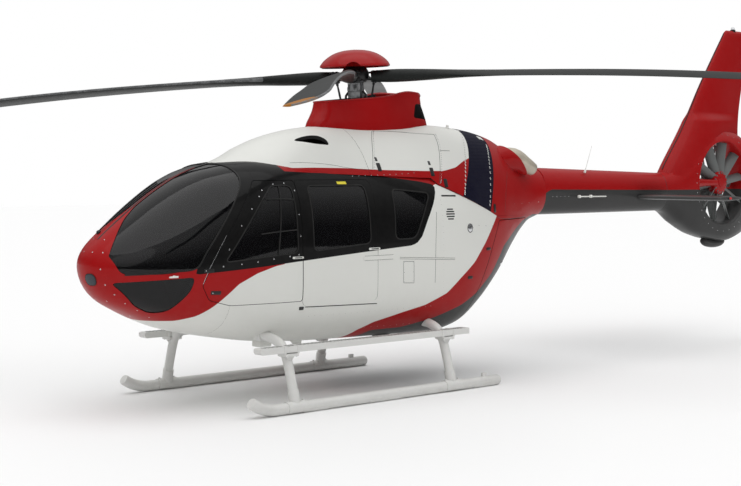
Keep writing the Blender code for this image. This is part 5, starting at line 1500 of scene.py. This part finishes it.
def make_fan():
    """Ten fan blades on the starboard side, and the vanes, bearing and drive tunnel on the port side."""
    place = HOME @ Matrix.Translation(FAN_CENTRE) @ PORTWARD
    shape = foil(10)
    rings = []
    for reach in np.linspace(0.10, FAN_RADIUS - 0.004, 12):
        lean = math.radians(40.0 - 24.0 * (reach - 0.1) / 0.4)
        chord = 0.098 + 0.012 * math.sin(math.pi * (reach - 0.1) / 0.4)
        rings.append([(reach, (0.045 - back * chord) * math.cos(lean) - up * 0.12 * chord * math.sin(lean),
                       (0.045 - back * chord) * math.sin(lean) + up * 0.12 * chord * math.cos(lean))
                      for back, up in shape])
    blade = ring_mesh(rings)
    hub = turned(((0, -0.050), (0.10, -0.050), (0.118, -0.042), (0.126, -0.020), (0.128, 0.010),
                  (0.122, 0.035),
                  (0.10, 0.048), (0, 0.050)), 72)
    cuff = sweep([(0.115, 0, 0), (0.165, 0, 0)], [0.026, 0.018], 20)
    lift = Matrix.Translation((0, 0, -0.060))
    blades = ringed(joined(blade, cuff), 10, 0.0, 0.05, FAN_GREY)
    piece("fan_rotor", joined(placed(hub, lift), placed(blades, lift)), "tail_rotor", FAN_GREY,
          ["fan_rotor"], 40, place)
    lift = Matrix.Translation((0, 0, 0.085))
    middle = turned(((0, -0.058), (0.136, -0.058), (0.146, -0.045), (0.148, 0.030), (0.142, 0.044),
                     (0.110, 0.052),
                     (0.060, 0.056), (0.056, 0.064), (0, 0.066)), 72)
    bolts = ringed(placed(bolt(0.009, 0.010), Matrix.Translation((0.122, 0.0, 0.048))), 14, 0.1, 0.0, STEEL)
    bearing = turned(((0, -0.0895), (0.055, -0.0895), (0.06, -0.085), (0.06, -0.05), (0, -0.05)), 40)
    parts = [placed(joined(middle, bolts), lift), placed(bearing, Matrix.Translation((0, 0, 0.080)))]
    vane_rings = [[(reach, (0.5 - back) * 0.130, up * 0.12 * 0.13 + 0.012 * math.sin(math.pi * back))
                   for back, up in shape] for reach in np.linspace(0.11, DUCT_RADIUS - 0.001, 10)]
    vane = placed(ring_mesh(vane_rings), Matrix.Rotation(math.radians(-50), 4, "X"))
    vanes = placed(ringed(vane, 10, math.radians(9.0), 0.0, FAN_GREY), lift)
    vanes.polygons.foreach_set("material_index", [1] * len(vanes.polygons))
    parts.append(vanes)
    arm = ring_mesh([[(reach, 0.5 * wide * math.copysign(abs(math.cos(a)) ** 0.7, math.cos(a)),
                       0.5 * deep * math.copysign(abs(math.sin(a)) ** 0.7, math.sin(a)))
                      for a in (2 * math.pi * k / 32 for k in range(32))]
                     for reach, wide, deep in ((0.10, 0.085, 0.10), (0.20, 0.080, 0.10),
                                               (0.35, 0.092, 0.105),
                                               (0.45, 0.110, 0.115), (DUCT_RADIUS - 0.001, 0.130, 0.125))])
    parts.append(placed(arm, Matrix.Translation((0, 0, 0.115))))
    piece("fan_stator", joined(*parts), "airframe", [RED_PAINT, FAN_GREY], ["fan_stator"], 40,
          place)


# Landing gear
SKID_RADIUS = 0.0525
LEG_RADIUS = 0.045
LEGS = (("front", 1.615), ("rear", -0.373))


def leg_path(x):
    half = ((0.990, 0.085), (0.965, 0.20), (0.92, 0.36), (0.87, 0.50), (0.81, 0.585), (0.72, 0.632),
            (0.60, 0.655), (0.45, 0.665))
    port = [(x, y, z) for y, z in half]
    return bent(port + [(x, -y, z) for y, z in reversed(half)], 6)


def skid_path(side):
    path = [(-1.035, side, SKID_RADIUS), (-1.02, side, SKID_RADIUS), (0.0, side, SKID_RADIUS),
            (1.0, side, SKID_RADIUS), (1.70, side, SKID_RADIUS)]
    for step in range(0, 16):
        angle = math.radians(3.0 * step)
        path.append((1.82 + 0.42 * math.sin(angle), side, SKID_RADIUS + 0.42 * (1 - math.cos(angle)) * 0.75))
    return path


def make_gear():
    for name, x in LEGS:
        parts = [sweep(leg_path(x), LEG_RADIUS, 32)]
        for _, side in SIDES:
            foot = ((0.995, 0.045), (0.985, 0.10), (0.970, 0.175), (0.962, 0.20))
            parts.append(sweep(bent([(x, side * y, z) for y, z in foot], 4), 0.053, 32))
            saddle = shaped(sweep([(x - 0.11, side, SKID_RADIUS), (x + 0.11, side, SKID_RADIUS)], 0.060, 36),
                            ("DIFFERENCE", block((x - 1, side - 1, -1), (x + 1, side + 1, 0.020))))
            parts.append(saddle)
            for shift in (-0.085, 0.085):
                parts.append(placed(bolt(0.011, 0.012), Matrix.Translation((x + shift, side * 1.0, 0.1115))))
            parts.append(sweep([(x, side * 0.45, 0.661), (x, side * 0.55, 0.661)], 0.056, 32))
        piece(f"cross_tube_{name}", joined(*parts), "airframe", GEAR_PAINT,
              [f"cross_tube_{name}"])
    for label, side in SIDES:
        path = skid_path(side)
        sizes = [SKID_RADIUS * 0.86] + [SKID_RADIUS] * (len(path) - 2) + [SKID_RADIUS * 0.90]
        parts = [sweep(path, sizes, 36)]
        for low, high in ((-0.95, -0.65), (0.35, 0.75), (1.25, 1.55)):
            shoe = shaped(sweep([(low, side, SKID_RADIUS), (high, side, SKID_RADIUS)], SKID_RADIUS + 0.004,
                                36),
                          ("INTERSECT", block((low - 1, side - 0.046, 0.0005),
                                              (high + 1, side + 0.046, 0.040))))
            parts.append(shoe)
        wheel_lug = block((-0.86, side - 0.012, 0.095), (-0.80, side + 0.012, 0.14), 0.006)
        parts.append(wheel_lug)
        piece(f"skid_{label}", joined(*parts), "airframe", GEAR_PAINT, [f"skid_{label}"])
        make_step(label, side)


def make_step(label, side):
    """The long step: a box rail with rounded ends and brackets round the legs; the grit on its top is laid
    with the gear's trim.
    """
    low, high = sorted((side * 0.847, side * 0.953))
    rail = prism(rounded(((-0.668, 0.541), (1.95, 0.541), (1.968, 0.56), (1.968, 0.59), (1.95, 0.599),
                          (-0.668, 0.599)), 0.012, 4), low, high)
    parts = [rail]
    for _, x in LEGS:
        for shift in (-0.075, 0.075):
            parts.append(block((x + shift - 0.012, side * 0.9 - 0.058, 0.530),
                               (x + shift + 0.012, side * 0.9 + 0.058, 0.603), 0.004))
    piece(f"step_{label}", joined(*parts), "airframe", GEAR_PAINT, [f"step_{label}"])


DOOR_SCREWS = ((1.715, .655, 1.988), (1.581, .646, 2.041), (1.458, .651, 2.049), (1.366, .69, 1.98),
               (1.366, .75, 1.76), (1.362, .778, 1.568), (1.389, .781, 1.400), (1.492, .779, 1.388),
               (1.671, .771, 1.372), (1.84, .754, 1.352), (2.004, .734, 1.338), (2.185, .709, 1.325),
               (2.122, .702, 1.47), (1.985, .678, 1.66), (1.86, .667, 1.80), (1.76, .66, 1.92))
NOSE_SCREWS = ((3.012, .09, 1.568), (3.12, .07, 1.462), (3.119, .191, 1.318), (3.082, .173, 1.46),
               (3.078, .2, 1.181), (3.003, .228, 1.094), (2.998, .099, 1.029), (2.9, .236, 1.012),
               (2.784, .247, .945), (2.73, .052, .878), (2.656, .242, .875))
WINDSHIELD_FOOT = ((2.98, .30, 1.275), (2.80, .44, 1.278), (2.62, .54, 1.290), (2.43, .615, 1.315),
                   (2.33, .64, 1.45), (2.17, .65, 1.66), (2.02, .63, 1.86), (1.88, .55, 2.06),
                   (1.85, .35, 2.19),
                   (1.845, .03, 2.225))
LIVERY_LINE = ((-0.393, .761, 1.752), (-0.366, .783, 1.477), (-0.355, .782, 1.052))
RAIL = ((.126, .785, 1.317), (-.25, .785, 1.298), (-.644, .774, 1.277))
FILLER = (-.893, .744, 1.577)


def make_body_trim():
    """Seams, seals, screws, handles, hinges and vents of the fuselage and its doors."""
    for label, side in SIDES:
        flip = list if side > 0 else mirrored
        door = f"door_front_{label}"
        clam = f"door_clam_{label}"
        screws([spot(p) for p in flip(DOOR_SCREWS)], 0.0062, body=door)
        screws([spot(p) for p in flip(NOSE_SCREWS)], 0.0062, STEEL)
        trim(SEAL, side_loop(rounded(FRONT_DOOR_PANE, 0.06), side), body=door)
        trim(SEAL, side_loop(rounded(SLIDING_PANE, 0.06), side), side_loop(rounded(REAR_PANE, 0.07), side),
             ribbon(flip(WINDSHIELD_FOOT), 0.012, 0.0014, BODY, 0.008))
        for line in (((1.528, .66, 2.02), (1.62, .773, 1.40)), ((1.70, .69, 1.90), (1.402, .72, 1.90)),
                     ((1.792, .751, 1.60), (1.402, .774, 1.628))):
            trim(SEAL, ribbon(flip(line), 0.012, 0.0008, BODY, 0.009), body=door)
        hinges = [spot(p) for p in flip(((2.318, .675, 1.292), (2.25, .66, 1.10)))]
        plates(BLACK_TRIM, hinges, 0.095, 0.034, 0.004, 0.006, 0.001, body=door)
        screws([(p + Vector((shift, 0, 0)) + f * 0.004, f, a) for p, f,
                a in hinges for shift in (-0.035, 0.035)], 0.005,
               body=door)
        plates(WHITE_PAINT, [spot((1.40, side * .781, 1.373))], 0.125, 0.020, 0.010, 0.008, 0.0008,
               body=door)
        plates(BLACK_TRIM, [spot((1.40, side * .781, 1.373), proud=0.009)], 0.085, 0.008, 0.003, 0.003,
               0.001, body=door)
        plates(WHITE_PAINT, [spot((.459, side * .784, 1.42))], 0.140, 0.022, 0.010, 0.008, 0.0008)
        plates(BLACK_TRIM, [spot((.459, side * .784, 1.42), proud=0.009)], 0.095, 0.009, 0.003, 0.003, 0.001)
        plates(SEAL, [spot((.40, side * .785, 1.333))], 0.408, 0.048, 0.0014, 0.014, 0.001)
        plates(WHITE_PAINT, [spot((.40, side * .785, 1.333))], 0.40, 0.040, 0.006, 0.012, 0.001)
        trim(SEAL, ribbon(flip(RAIL), 0.018, 0.0010), ribbon(flip(((1.30, .763, .916), (.41, .761, .895))),
                                                             0.008,
                                                             0.002))
        trim(WHITE_PAINT, ribbon(flip(RAIL), 0.012, 0.0026))
        trim(STEEL, ribbon(flip(((2.14, .70, 1.60), (2.302, .66, 1.33), (2.372, .64, 1.18))), 0.004, 0.0014))
        plates(GREY_PAINT, [spot((1.345, side * .763, .905))], 0.050, 0.030, 0.010, 0.006, 0.001)
        trim(DARK_METAL, ribbon(flip(LIVERY_LINE), 0.004), ribbon(flip(
            ((.079, .785, 1.283), (-.063, .785, 1.277), (-.065, .785, 1.067), (.076, .785, 1.074))), 0.004,
            loop=True))
        screws([spot((x, side * .785, z)) for x in (.066, -.052) for z in (1.27, 1.175, 1.085)], 0.0045)
        for k, width in enumerate((0.09, 0.12, 0.13, 0.12, 0.09)):
            plates(BLACK_TRIM, [spot((-.595, side * .757, 1.779 - 0.0265 * k))], width, 0.013, 0.0018, 0.006,
                   0.001)
        plates(BLACK_TRIM, [spot((-.609, side * .716, 1.908))], 0.215, 0.016, 0.002, 0.006, 0.001)
        trim(DARK_METAL, ribbon(flip(((-1.41, .632, 1.682), (-1.587, .583, 1.654), (-2.228, .35, 1.640))),
                                0.004))
        hinge_spots = [spot(p) for p in flip(((-1.23, .681, 1.352), (-.895, .751, 1.075)))]
        plates(BLACK_TRIM, hinge_spots, 0.085, 0.030, 0.005, 0.008, 0.001)
        plates(STEEL, [spot((-1.62, side * .50, 1.18))], 0.10, 0.026, 0.006, 0.008, 0.001, body=clam)
        screws([spot((-0.92 - 0.13 * k, side * 0.72, 1.60)) for k in range(4)], 0.0045)
        rivets = [spot((x, side * .78, 0.80)) for x in np.arange(1.24, -0.40, -0.075)]
        rivets += [spot((x, side * .70, 0.60)) for x in np.arange(1.9, -0.65, -0.085)]
        rivets += [spot((-0.475, side * .77, z)) for z in np.arange(1.90, 0.85, -0.06)]
        plates(STEEL, rivets, 0.0052, thick=0.0007, sink=0.0004)
    plates(DARK_METAL, [spot(FILLER)], 0.094, thick=0.002)
    plates(STEEL, [spot(FILLER)], 0.078, thick=0.004)
    plates(DARK_METAL, [spot(FILLER, proud=0.0035)], 0.030, 0.010, 0.003, 0.003, 0.001)
    screws([(spot(FILLER)[0] + Vector((0.040 * math.cos(a), 0.0,
                                       0.040 * math.sin(a))) + spot(FILLER)[1] * 0.004,
             spot(FILLER)[1], Vector((1, 0, 0))) for a in np.linspace(0, 2 * math.pi, 7)[:-1]], 0.004)
    plates(YELLOW, [spot((.765, .655, 2.045))], 0.115, 0.030, 0.0008, 0.004, 0.0004)
    post = bent([onto((x, 0.0, 3.0))[0] - Vector((0, 0, 0.002)) for x in (1.84, 2.05, 2.3, 2.6, 2.85, 3.02)],
                6)
    trim(BLACK_TRIM, sweep(post, 0.012, 16, squash=0.5))
    arm = [onto(p, proud=0.014)[0] for p in ((2.93, -.10, 1.66), (2.75, -.115, 1.80), (2.50, -.12, 1.97),
                                            (2.36, -.13, 2.05))]
    trim(BLACK_TRIM, sweep(bent(arm, 5), 0.006, 12), ribbon([(2.86, -.14, 1.73), (2.60, -.145, 1.90),
                                                            (2.30, -.15, 2.07)], 0.010, 0.010))
    pivot, way = onto((2.95, -.10, 1.64))
    trim(BLACK_TRIM, placed(turned(((0, -0.004), (0.022, -0.004), (0.022, 0.012), (0.014, 0.022),
                                    (0, 0.024)), 24),
                            facing_frame(pivot, way)))
    for _, side, line in both_sides(((2.666, .551, 1.262), (2.62, .575, 1.252), (2.569, .591, 1.238))):
        ends = [onto(p)[0] for p in line]
        out = onto(line[1], proud=0.055)[0]
        trim(WHITE_PAINT, sweep([ends[1], out + Vector((-0.01, 0, 0))], 0.010, 16),
             sweep([out + Vector((-0.03, 0, 0)), out + Vector((0.045, 0, 0)), out + Vector((0.060, 0, 0))],
                   [0.009, 0.008, 0.005], 16))
    lamp = [spot((3.14, .068, 1.222), BODY, (0.0, 1.0, 0.0))]
    plates(SEAL, lamp, 0.140, 0.112, 0.0016, 0.052, 0.001)
    plates(DISPLAY, lamp, 0.124, 0.096, 0.004, 0.044, 0.001)


def make_cowl_trim():
    """Seams, latches, band fasteners and fittings of the hoods."""
    seam_a = ((.029, .276, 2.55), (.129, .386, 2.459), (.225, .505, 2.311), (.296, .583, 2.176))
    seam_b = ((-.735, .378, 2.521), (-.687, .484, 2.417), (-.618, .582, 2.266), (-.543, .658, 2.086),
              (-.514, .681, 2.04))
    top = ((.029, .276, 2.55), (-.32, .311, 2.545), (-.561, .352, 2.528), (-.735, .378, 2.521))
    short = ((-.67, .53, 2.356), (-.80, .537, 2.352))
    crease = ((1.234, .465, 2.235), (1.022, .502, 2.234), (.803, .535, 2.218), (.579, .567, 2.185),
              (.338, .586, 2.166))
    rear = ((-1.778, .447, 2.164), (-1.667, .535, 1.953), (-1.61, .576, 1.72))
    latches = ((.21, .583, 2.205), (-.46, .63, 2.145), (-.606, .68, 2.035), (-1.374, .633, 1.765))
    band_back = ((-1.545, .372, 2.396), (-1.435, .519, 2.216), (-1.308, .652, 1.80))
    band_front = ((-1.213, .224, 2.561), (-1.038, .481, 2.411), (-.929, .61, 2.216), (-.826, .711, 1.93))
    for _, side in SIDES:
        flip = list if side > 0 else mirrored
        for line in (seam_a, seam_b, top, short):
            trim(DARK_METAL, ribbon(flip(line), 0.0045, 0.0006, COWL))
        trim(DARK_METAL, ribbon(flip(crease), 0.003, 0.0005, COWL), ribbon(flip(rear), 0.0045, 0.0006, COWL))
        plates(BLACK_TRIM, [spot(p, COWL, (0, 0, 1)) for p in flip(latches)], 0.090, 0.048, 0.005, 0.009,
               0.001)
        plates(DARK_METAL, [spot((x, y * 0.93, z + 0.085), COWL, (0, 0, 1)) for x, y,
                            z in flip(latches[:2])], 0.045,
               0.030, 0.002, 0.005, 0.001)
        for line, shift in ((band_front, -0.030), (band_back, 0.030)):
            marks = [p + Vector((shift, 0, 0)) for p in spaced(flip(line), 0.150)]
            plates(WHITE_PAINT, [spot(p, COWL, (0, 0, 1)) for p in marks], 0.026, 0.014, 0.0018, 0.005,
                   0.0006)
            plates(BLACK_TRIM, [spot(p, COWL, (0, 0, 1), 0.0016) for p in marks], 0.012, 0.004, 0.0008,
                   0.001, 0.0004)
        rivets = [spot(p + Vector((-0.022, 0, 0)), COWL) for line in (seam_a, seam_b) for p in
                  spaced(flip(line), 0.05)]
        rivets += [spot((x, side * 0.60, 2.10), COWL) for x in np.arange(1.3, -0.3, -0.08)]
        screws(rivets, 0.0042)
        plates(STEEL, [spot(p, COWL) for p in flip(((-1.9, .44, 1.80), (-2.1, .37, 1.80), (-2.3, .31, 1.80),
                                                   (-2.5, .27, 1.80)))], 0.009, thick=0.0012)
    plates(WHITE_PAINT, [spot((-1.50, .30, 2.50), COWL)], 0.085, 0.060, 0.0012, 0.010, 0.0006)
    for x, y in ((-.582, .11), (-1.083, .22), (-1.083, -.22)):
        place, facing = top_point(x, y)
        frame_here = facing_frame(place, facing)
        trim(WHITE_PAINT, placed(turned(((0, -0.004), (0.024, -0.004), (0.024, 0.003), (0.016, 0.010),
                                         (0.014, 0.028),
                                         (0.010, 0.034), (0, 0.036)), 24), frame_here))


def make_tail_trim():
    """Antennas, lamps and fittings of the boom, fin and tailplane."""
    foot, tip = Vector((-3.41, 0.15, 2.125)), Vector((-3.536, 0.15, 2.435))
    trim(WHITE_PAINT, sweep([foot, foot.lerp(tip, 0.10), foot.lerp(tip, 0.12), tip],
                            [0.016, 0.012, 0.004, 0.0022], 12))
    for _, side in SIDES:
        y = side * .262
        trim(WHITE_PAINT, sweep([(-3.18, y, 1.855), (-3.70, y - side * 0.03, 1.85)], 0.007, 16))
        for x in (-3.184, -3.40):
            low = Vector((x, y - side * 0.058 * (-3.18 - x), 1.855))
            trim(WHITE_PAINT, sweep([low - Vector((0.020, 0, 0)), low - Vector((0.014, 0, 0)),
                                     low + Vector((0.014, 0, 0)), low + Vector((0.020, 0, 0))],
                                    [0.006, 0.017, 0.017, 0.006], 20))
        for x in (-3.26, -3.60):
            trim(GREY_PAINT, sweep([(x, y - side * (0.002 + 0.055 * (-3.18 - x)), 1.85),
                                    (x, side * 0.17, 1.85)], [0.009, 0.015], 12))
        plates(STEEL, [(Vector((x, side * (0.2465 - 0.0317 * (-2.65 - x)), 1.86)), Vector((0, side, 0)),
                        Vector((1, 0, 0))) for x in np.arange(-2.75, -3.05, -0.07)], 0.009, thick=0.0016)
    tip_y = 1.325
    for side, lens in ((1.0, RED_LENS), (-1.0, GREEN_LENS)):
        x = -4.335 - 0.05 * tip_y - 0.20
        trim(BLACK_TRIM, sweep([(x + 0.03, side * (tip_y - 0.03), STAB_Z),
                                (x + 0.03, side * (tip_y + 0.012), STAB_Z)],
                               [0.026, 0.022], 20, squash=0.8))
        trim(lens, sweep([(x + 0.03, side * (tip_y + 0.010), STAB_Z),
                          (x + 0.03, side * (tip_y + 0.024), STAB_Z),
                          (x + 0.03, side * (tip_y + 0.030), STAB_Z)], [0.019, 0.016, 0.006], 20,
                          squash=0.8))
        edge = [(-4.335 - 0.05 * abs(y) - 0.505, y, STAB_Z - 0.004) for y in np.linspace(side * 0.20,
                                                                                         side * 1.32, 12)]
        trim(STEEL, sweep(edge, 0.0035, 8))
    top = value_at(3.93, FIN_LEAD) - 0.18
    trim(BLACK_TRIM, placed(turned(((0, -0.02), (0.034, -0.02), (0.034, 0.012), (0.026, 0.018), (0, 0.018)),
                                   28),
                            Matrix.Translation((top, 0, 3.94))))
    trim(CLEAR_LENS, placed(turned(((0, 0.018), (0.024, 0.018), (0.024, 0.036), (0.017, 0.048), (0, 0.052)),
                                   28),
                            Matrix.Translation((top, 0, 3.94))))
    leading = [(value_at(z, FIN_LEAD) + 0.0015, 0.0, z) for z in np.linspace(2.16, 3.90, 60)]
    trim(BLACK_TRIM, sweep(leading, 0.0065, 12))
    for _, side in SIDES:
        marks = []
        for angle in np.linspace(0, 2 * math.pi, 33)[:-1]:
            x, z = FAN_CENTRE.x + 0.615 * math.cos(angle), FAN_CENTRE.z + 0.615 * math.sin(angle)
            top_z, low_z, half = value_at(x, FIN_TOP), value_at(x, FIN_BOTTOM), value_at(x, FIN_HALF)
            share = min(abs(z - (top_z + low_z) / 2) / ((top_z - low_z) / 2), 0.999)
            marks.append((Vector((x, side * half * (1 - share ** 3.4) ** (1 / 3.4), z)),
                          Vector((0, side, 0)),
                          Vector((1, 0, 0))))
        screws(marks, 0.0055)
    seam = [tuple(p) for p in tube_ring(-4.952, BOOM_TOP, BOOM_BOTTOM, BOOM_HALF, 2.3, 72)]
    trim(DARK_METAL, ring_mesh([[tuple(Vector((x + dx, y * k, 1.888 + (z - 1.888) * k))) for dx, k in
                                 ((-0.0025, 0.99), (0.0025, 0.99), (0.0025, 1.0035), (-0.0025, 1.0035))]
                                for x, y, z in seam], loop=True))


def make_gear_trim():
    """Clamps, gussets and fittings of the landing gear and belly."""
    for _, x in LEGS:
        for _, side in SIDES:
            trim(BLACK_TRIM, sweep([(x - 0.05, side * 0.42, 0.672), (x + 0.05, side * 0.42, 0.672)], 0.062,
                                   24,
                                   squash=0.35))
            trim(GEAR_PAINT, block((x - 0.075, side * 0.9 - 0.062, 0.505),
                                   (x + 0.075, side * 0.9 + 0.062, 0.532), 0.008))
            plates(STEEL, [(Vector((x + dx, side * (0.9 + dy), 0.505)), Vector((0, 0, -1)),
                            Vector((1, 0, 0)))
                           for dx in (-0.06, 0.06) for dy in (-0.045, 0.045)], 0.014, thick=0.005)
            gusset = prism(rounded(((x - 0.075, 0.540), (x + 0.075, 0.540), (x + 0.012, 0.452),
                                    (x - 0.012, 0.452)), 0.01),
                           side * 0.925 - 0.003, side * 0.925 + 0.003)
            trim(GEAR_PAINT, gusset)
    for x, y, size in ((0.95, 0.20, 0.07), (0.35, -0.20, 0.06), (-0.15, 0.15, 0.05)):
        base = onto((x, y, 0.0))[0]
        trim(WHITE_PAINT, placed(prism(rounded(((x - size, 0.0), (x + size, 0.0),
                                                (x - 0.2 * size, -1.3 * size),
                                                (x - 0.8 * size, -1.3 * size)), 0.012), y - 0.007,
                                                y + 0.007),
                                 Matrix.Translation((0, 0, base.z + 0.006))))
    trim(WHITE_PAINT, block((1.42, 0.30, 0.535), (1.56, 0.42, 0.600), 0.012, 3))
    trim(BLACK_TRIM, block((-0.16, 0.22, 0.465), (-0.02, 0.34, 0.530), 0.010, 3))
    belly = [spot((x, y, 0.0)) for x in np.arange(1.8, -0.8, -0.11) for y in (-0.32, 0.0, 0.32)]
    plates(STEEL, belly, 0.008, thick=0.0012)
    for _, side in SIDES:
        grit = [(Vector((x, side * 0.9 + dy, 0.6005)), Vector((0, 0, 1)), Vector((1, 0, 0)))
                for x in np.arange(1.90, -0.62, -0.045) for dy in (-0.030, -0.010, 0.010, 0.030)]
        plates(BLACK_TRIM, grit, 0.026, 0.006, 0.0010, 0.002, 0.0006)


# Cabin
def padded_mesh(mesh, cap, voxel=0.006):
    """A soft form blown up by a cloth simulation, with no point moved further than the cap."""
    work = work_object(mesh)
    remesh = work.modifiers.new("remesh", "REMESH")
    remesh.mode = "VOXEL"
    remesh.voxel_size = voxel
    graph = bpy.context.evaluated_depsgraph_get()
    start = bpy.data.meshes.new_from_object(work.evaluated_get(graph))
    work.modifiers.clear()
    work.data = start
    before = np.zeros(len(start.vertices) * 3)
    start.vertices.foreach_get("co", before)
    after = before.copy()
    cloth = work.modifiers.new("cloth", "CLOTH")
    cloth.settings.use_pressure = True
    cloth.settings.uniform_pressure_force = 4.0
    cloth.settings.effector_weights.gravity = 0.0
    cloth.settings.quality = 4
    cloth.point_cache.frame_start = 1
    cloth.point_cache.frame_end = 20
    for step in range(1, 21):
        bpy.context.scene.frame_set(step)
    swollen = work.evaluated_get(bpy.context.evaluated_depsgraph_get()).to_mesh()
    swollen.vertices.foreach_get("co", after)
    work.modifiers.clear()
    bpy.context.scene.frame_set(1)
    move = (after - before).reshape(-1, 3)
    far = np.linalg.norm(move, axis=1, keepdims=True)
    move *= np.minimum(1.0, cap / np.maximum(far, 1e-9))
    made = work.data.copy()
    made.vertices.foreach_set("co", (before.reshape(-1, 3) + move).ravel())
    bpy.data.objects.remove(work)
    return made


def subdivided(mesh):
    work = work_object(mesh)
    work.modifiers.new("finer", "SUBSURF").levels = 1
    return finished(work)


SEAT_BASE = Matrix.Translation((1.765, 0, 1.268)) @ Matrix.Rotation(math.radians(-5.0), 4, "Y")
SEAT_BACK = Matrix.Translation((1.548, 0, 1.565)) @ Matrix.Rotation(math.radians(-12.4), 4, "Y")
SEAT_HEAD = Matrix.Translation((1.482, 0, 1.875)) @ Matrix.Rotation(math.radians(-6.0), 4, "Y")


def make_seats():
    """Seat shells with cushions swollen by simulation, two in front and three on the bench."""
    pads = {}
    for name, place, size, cap in (("base", SEAT_BASE, (0.34, 0.385, 0.062), 0.022),
                                   ("back", SEAT_BACK, (0.060, 0.385, 0.44), 0.022),
                                   ("head", SEAT_HEAD, (0.050, 0.205, 0.215), 0.012)):
        half = Vector(size) / 2
        soft = padded_mesh(placed(block(-half, half, 0.022, 4), place), cap)
        pads[name] = subdivided(soft)
    shell = ((1.95, 1.165), (1.97, 1.235), (1.60, 1.205), (1.555, 1.27), (1.462, 1.80), (1.425, 1.80),
             (1.49, 1.24), (1.53, 1.15))
    for label, side in SIDES:
        middle = side * 0.375
        shift = Matrix.Translation((0, middle, 0))
        parts = [prism(rounded(shell, 0.03), middle - 0.213, middle + 0.213)]
        for across in (-0.16, 0.16):
            parts.append(block((1.53, middle + across - 0.012, 0.950),
                               (1.90, middle + across + 0.012, 1.175), 0.006))
            parts.append(block((1.50, middle + across - 0.025, 0.9305),
                               (1.94, middle + across + 0.025, 0.952), 0.004))
        for across in (-0.06, 0.06):
            parts.append(sweep([(1.450, middle + across, 1.74), (1.455, middle + across, 1.84)], 0.008, 16))
        piece(f"seat_frame_{label}", joined(*parts), "airframe", BLACK_TRIM,
              [f"pilot_seat_{label}"])
        for name, pad in pads.items():
            made = piece(f"seat_{name}_cushion_{label}", placed(pad, shift), "airframe", SEAT_CLOTH)
    bench = [(x - 1.66, z) for x, z in shell]
    parts = [prism(rounded(bench, 0.03), -0.62, 0.62)]
    for across in (-0.55, -0.2, 0.2, 0.55):
        parts.append(block((-0.10, across - 0.012, 0.9305), (0.24, across + 0.012, 1.175), 0.006))
    piece("bench_frame", joined(*parts), "airframe", BLACK_TRIM, ["rear_bench"])
    for number in range(3):
        shift = Matrix.Translation((-1.66, 0.41 * (number - 1), 0))
        for name in ("base", "back"):
            made = piece(f"bench_{name}_cushion_{number + 1}", placed(pads[name], shift), "airframe",
                         SEAT_CLOTH)


def make_cockpit():
    """The instrument panel with its screens and knobs, the console, sticks and pedals."""
    panel = ((2.46, .9305), (2.61, 1.28), (2.595, 1.55), (2.31, 1.60), (2.295, 1.585), (2.345, 1.50),
             (2.36, 1.20),
             (2.29, .9305))
    column = block((2.30, -0.14, 0.9305), (2.44, 0.14, 1.20), 0.012)
    hood = prism(rounded(panel, 0.02), -0.335, 0.335)
    piece("instrument_panel_hood", joined(hood, column), "airframe", LINING_AND_SHADE,
          ["instrument_panel"])
    aft = Vector((-1.0, 0.0, -0.06)).normalized()
    screens = [(Vector((2.351, y, 1.36)), aft, Vector((0, 1, 0))) for y in (-0.235, -0.08, 0.08, 0.235)]
    plates(BLACK_TRIM, screens, 0.150, 0.200, 0.012, 0.012, 0.004)
    plates(DISPLAY, [(p + aft * 0.0085, f, a) for p, f, a in screens], 0.126, 0.160, 0.003, 0.006, 0.001)
    knobs = [(Vector((2.352, y, 1.475)), aft, Vector((0, 1, 0))) for y in np.linspace(-0.29, 0.29, 12)]
    plates(STEEL, knobs, 0.018, thick=0.016)
    console = prism(rounded(((2.27, .9305), (2.295, 1.12), (1.785, 1.06), (1.745, .9305)), 0.02), -0.118,
                    0.118)
    piece("console_box", console, "airframe", LINING_AND_SHADE, ["centre_console"])
    up = Vector((-0.11, 0.0, 1.0)).normalized()
    keys = [(Vector((x, y, 1.1185 - (2.27 - x) * 0.118)), up, Vector((1, 0, 0)))
            for x in np.arange(2.22, 1.84, -0.045) for y in (-0.075, -0.045, -0.015, 0.015, 0.045, 0.075)]
    plates(BLACK_TRIM, keys, 0.030, 0.020, 0.006, 0.003, 0.001)
    for _, side in SIDES:
        y = side * 0.375
        stick = bent([Vector(p) for p in ((2.02, y, 0.935), (2.03, y, 1.10), (2.06, y, 1.30),
                                          (2.03, y, 1.44))], 6)
        grip = bent([Vector(p) for p in ((2.042, y, 1.40), (2.028, y, 1.45), (2.012, y, 1.50))], 5)
        boot = placed(turned(((0, 0.0), (0.055, 0.0), (0.050, 0.018), (0.034, 0.030), (0.018, 0.060),
                              (0, 0.062)), 24),
                      Matrix.Translation((2.02, y, 0.9305)))
        trim(BLACK_TRIM, sweep(stick, 0.013, 16), sweep(grip, [0.018] * (len(grip) - 1) + [0.014], 16), boot)
        for across in (-0.11, 0.11):
            bar = sweep([(2.50, y + across, 0.935), (2.46, y + across, 1.04)], 0.008, 12)
            trim(DARK_METAL, bar, block((2.440, y + across - 0.045, 1.03),
                                        (2.462, y + across + 0.045, 1.115), 0.006))
        lever = bent([Vector(p) for p in ((1.62, side * 0.135, 0.95), (1.80, side * 0.138, 1.06),
                                          (1.98, side * 0.140, 1.20))], 6)
        trim(BLACK_TRIM, sweep(lever, 0.013, 16))


# Run
def dress_frame_nodes():
    for name, material in (("cabin_floor", LINING_AND_SHADE), ("engine_deck", METAL), ("main_gearbox", DARK_METAL),
                           ("engine_left", METAL), ("engine_right", METAL)):
        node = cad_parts[name]
        node.data.materials.clear()
        node.data.materials.append(material)


set_stage()
make_seats()
make_cockpit()
make_fuselage()
make_cowls()
make_pylon()
make_exhausts()
make_rotor()
make_tail()
make_gear()
make_body_trim()
make_cowl_trim()
make_tail_trim()
make_gear_trim()
finish_trim()
dress_frame_nodes()
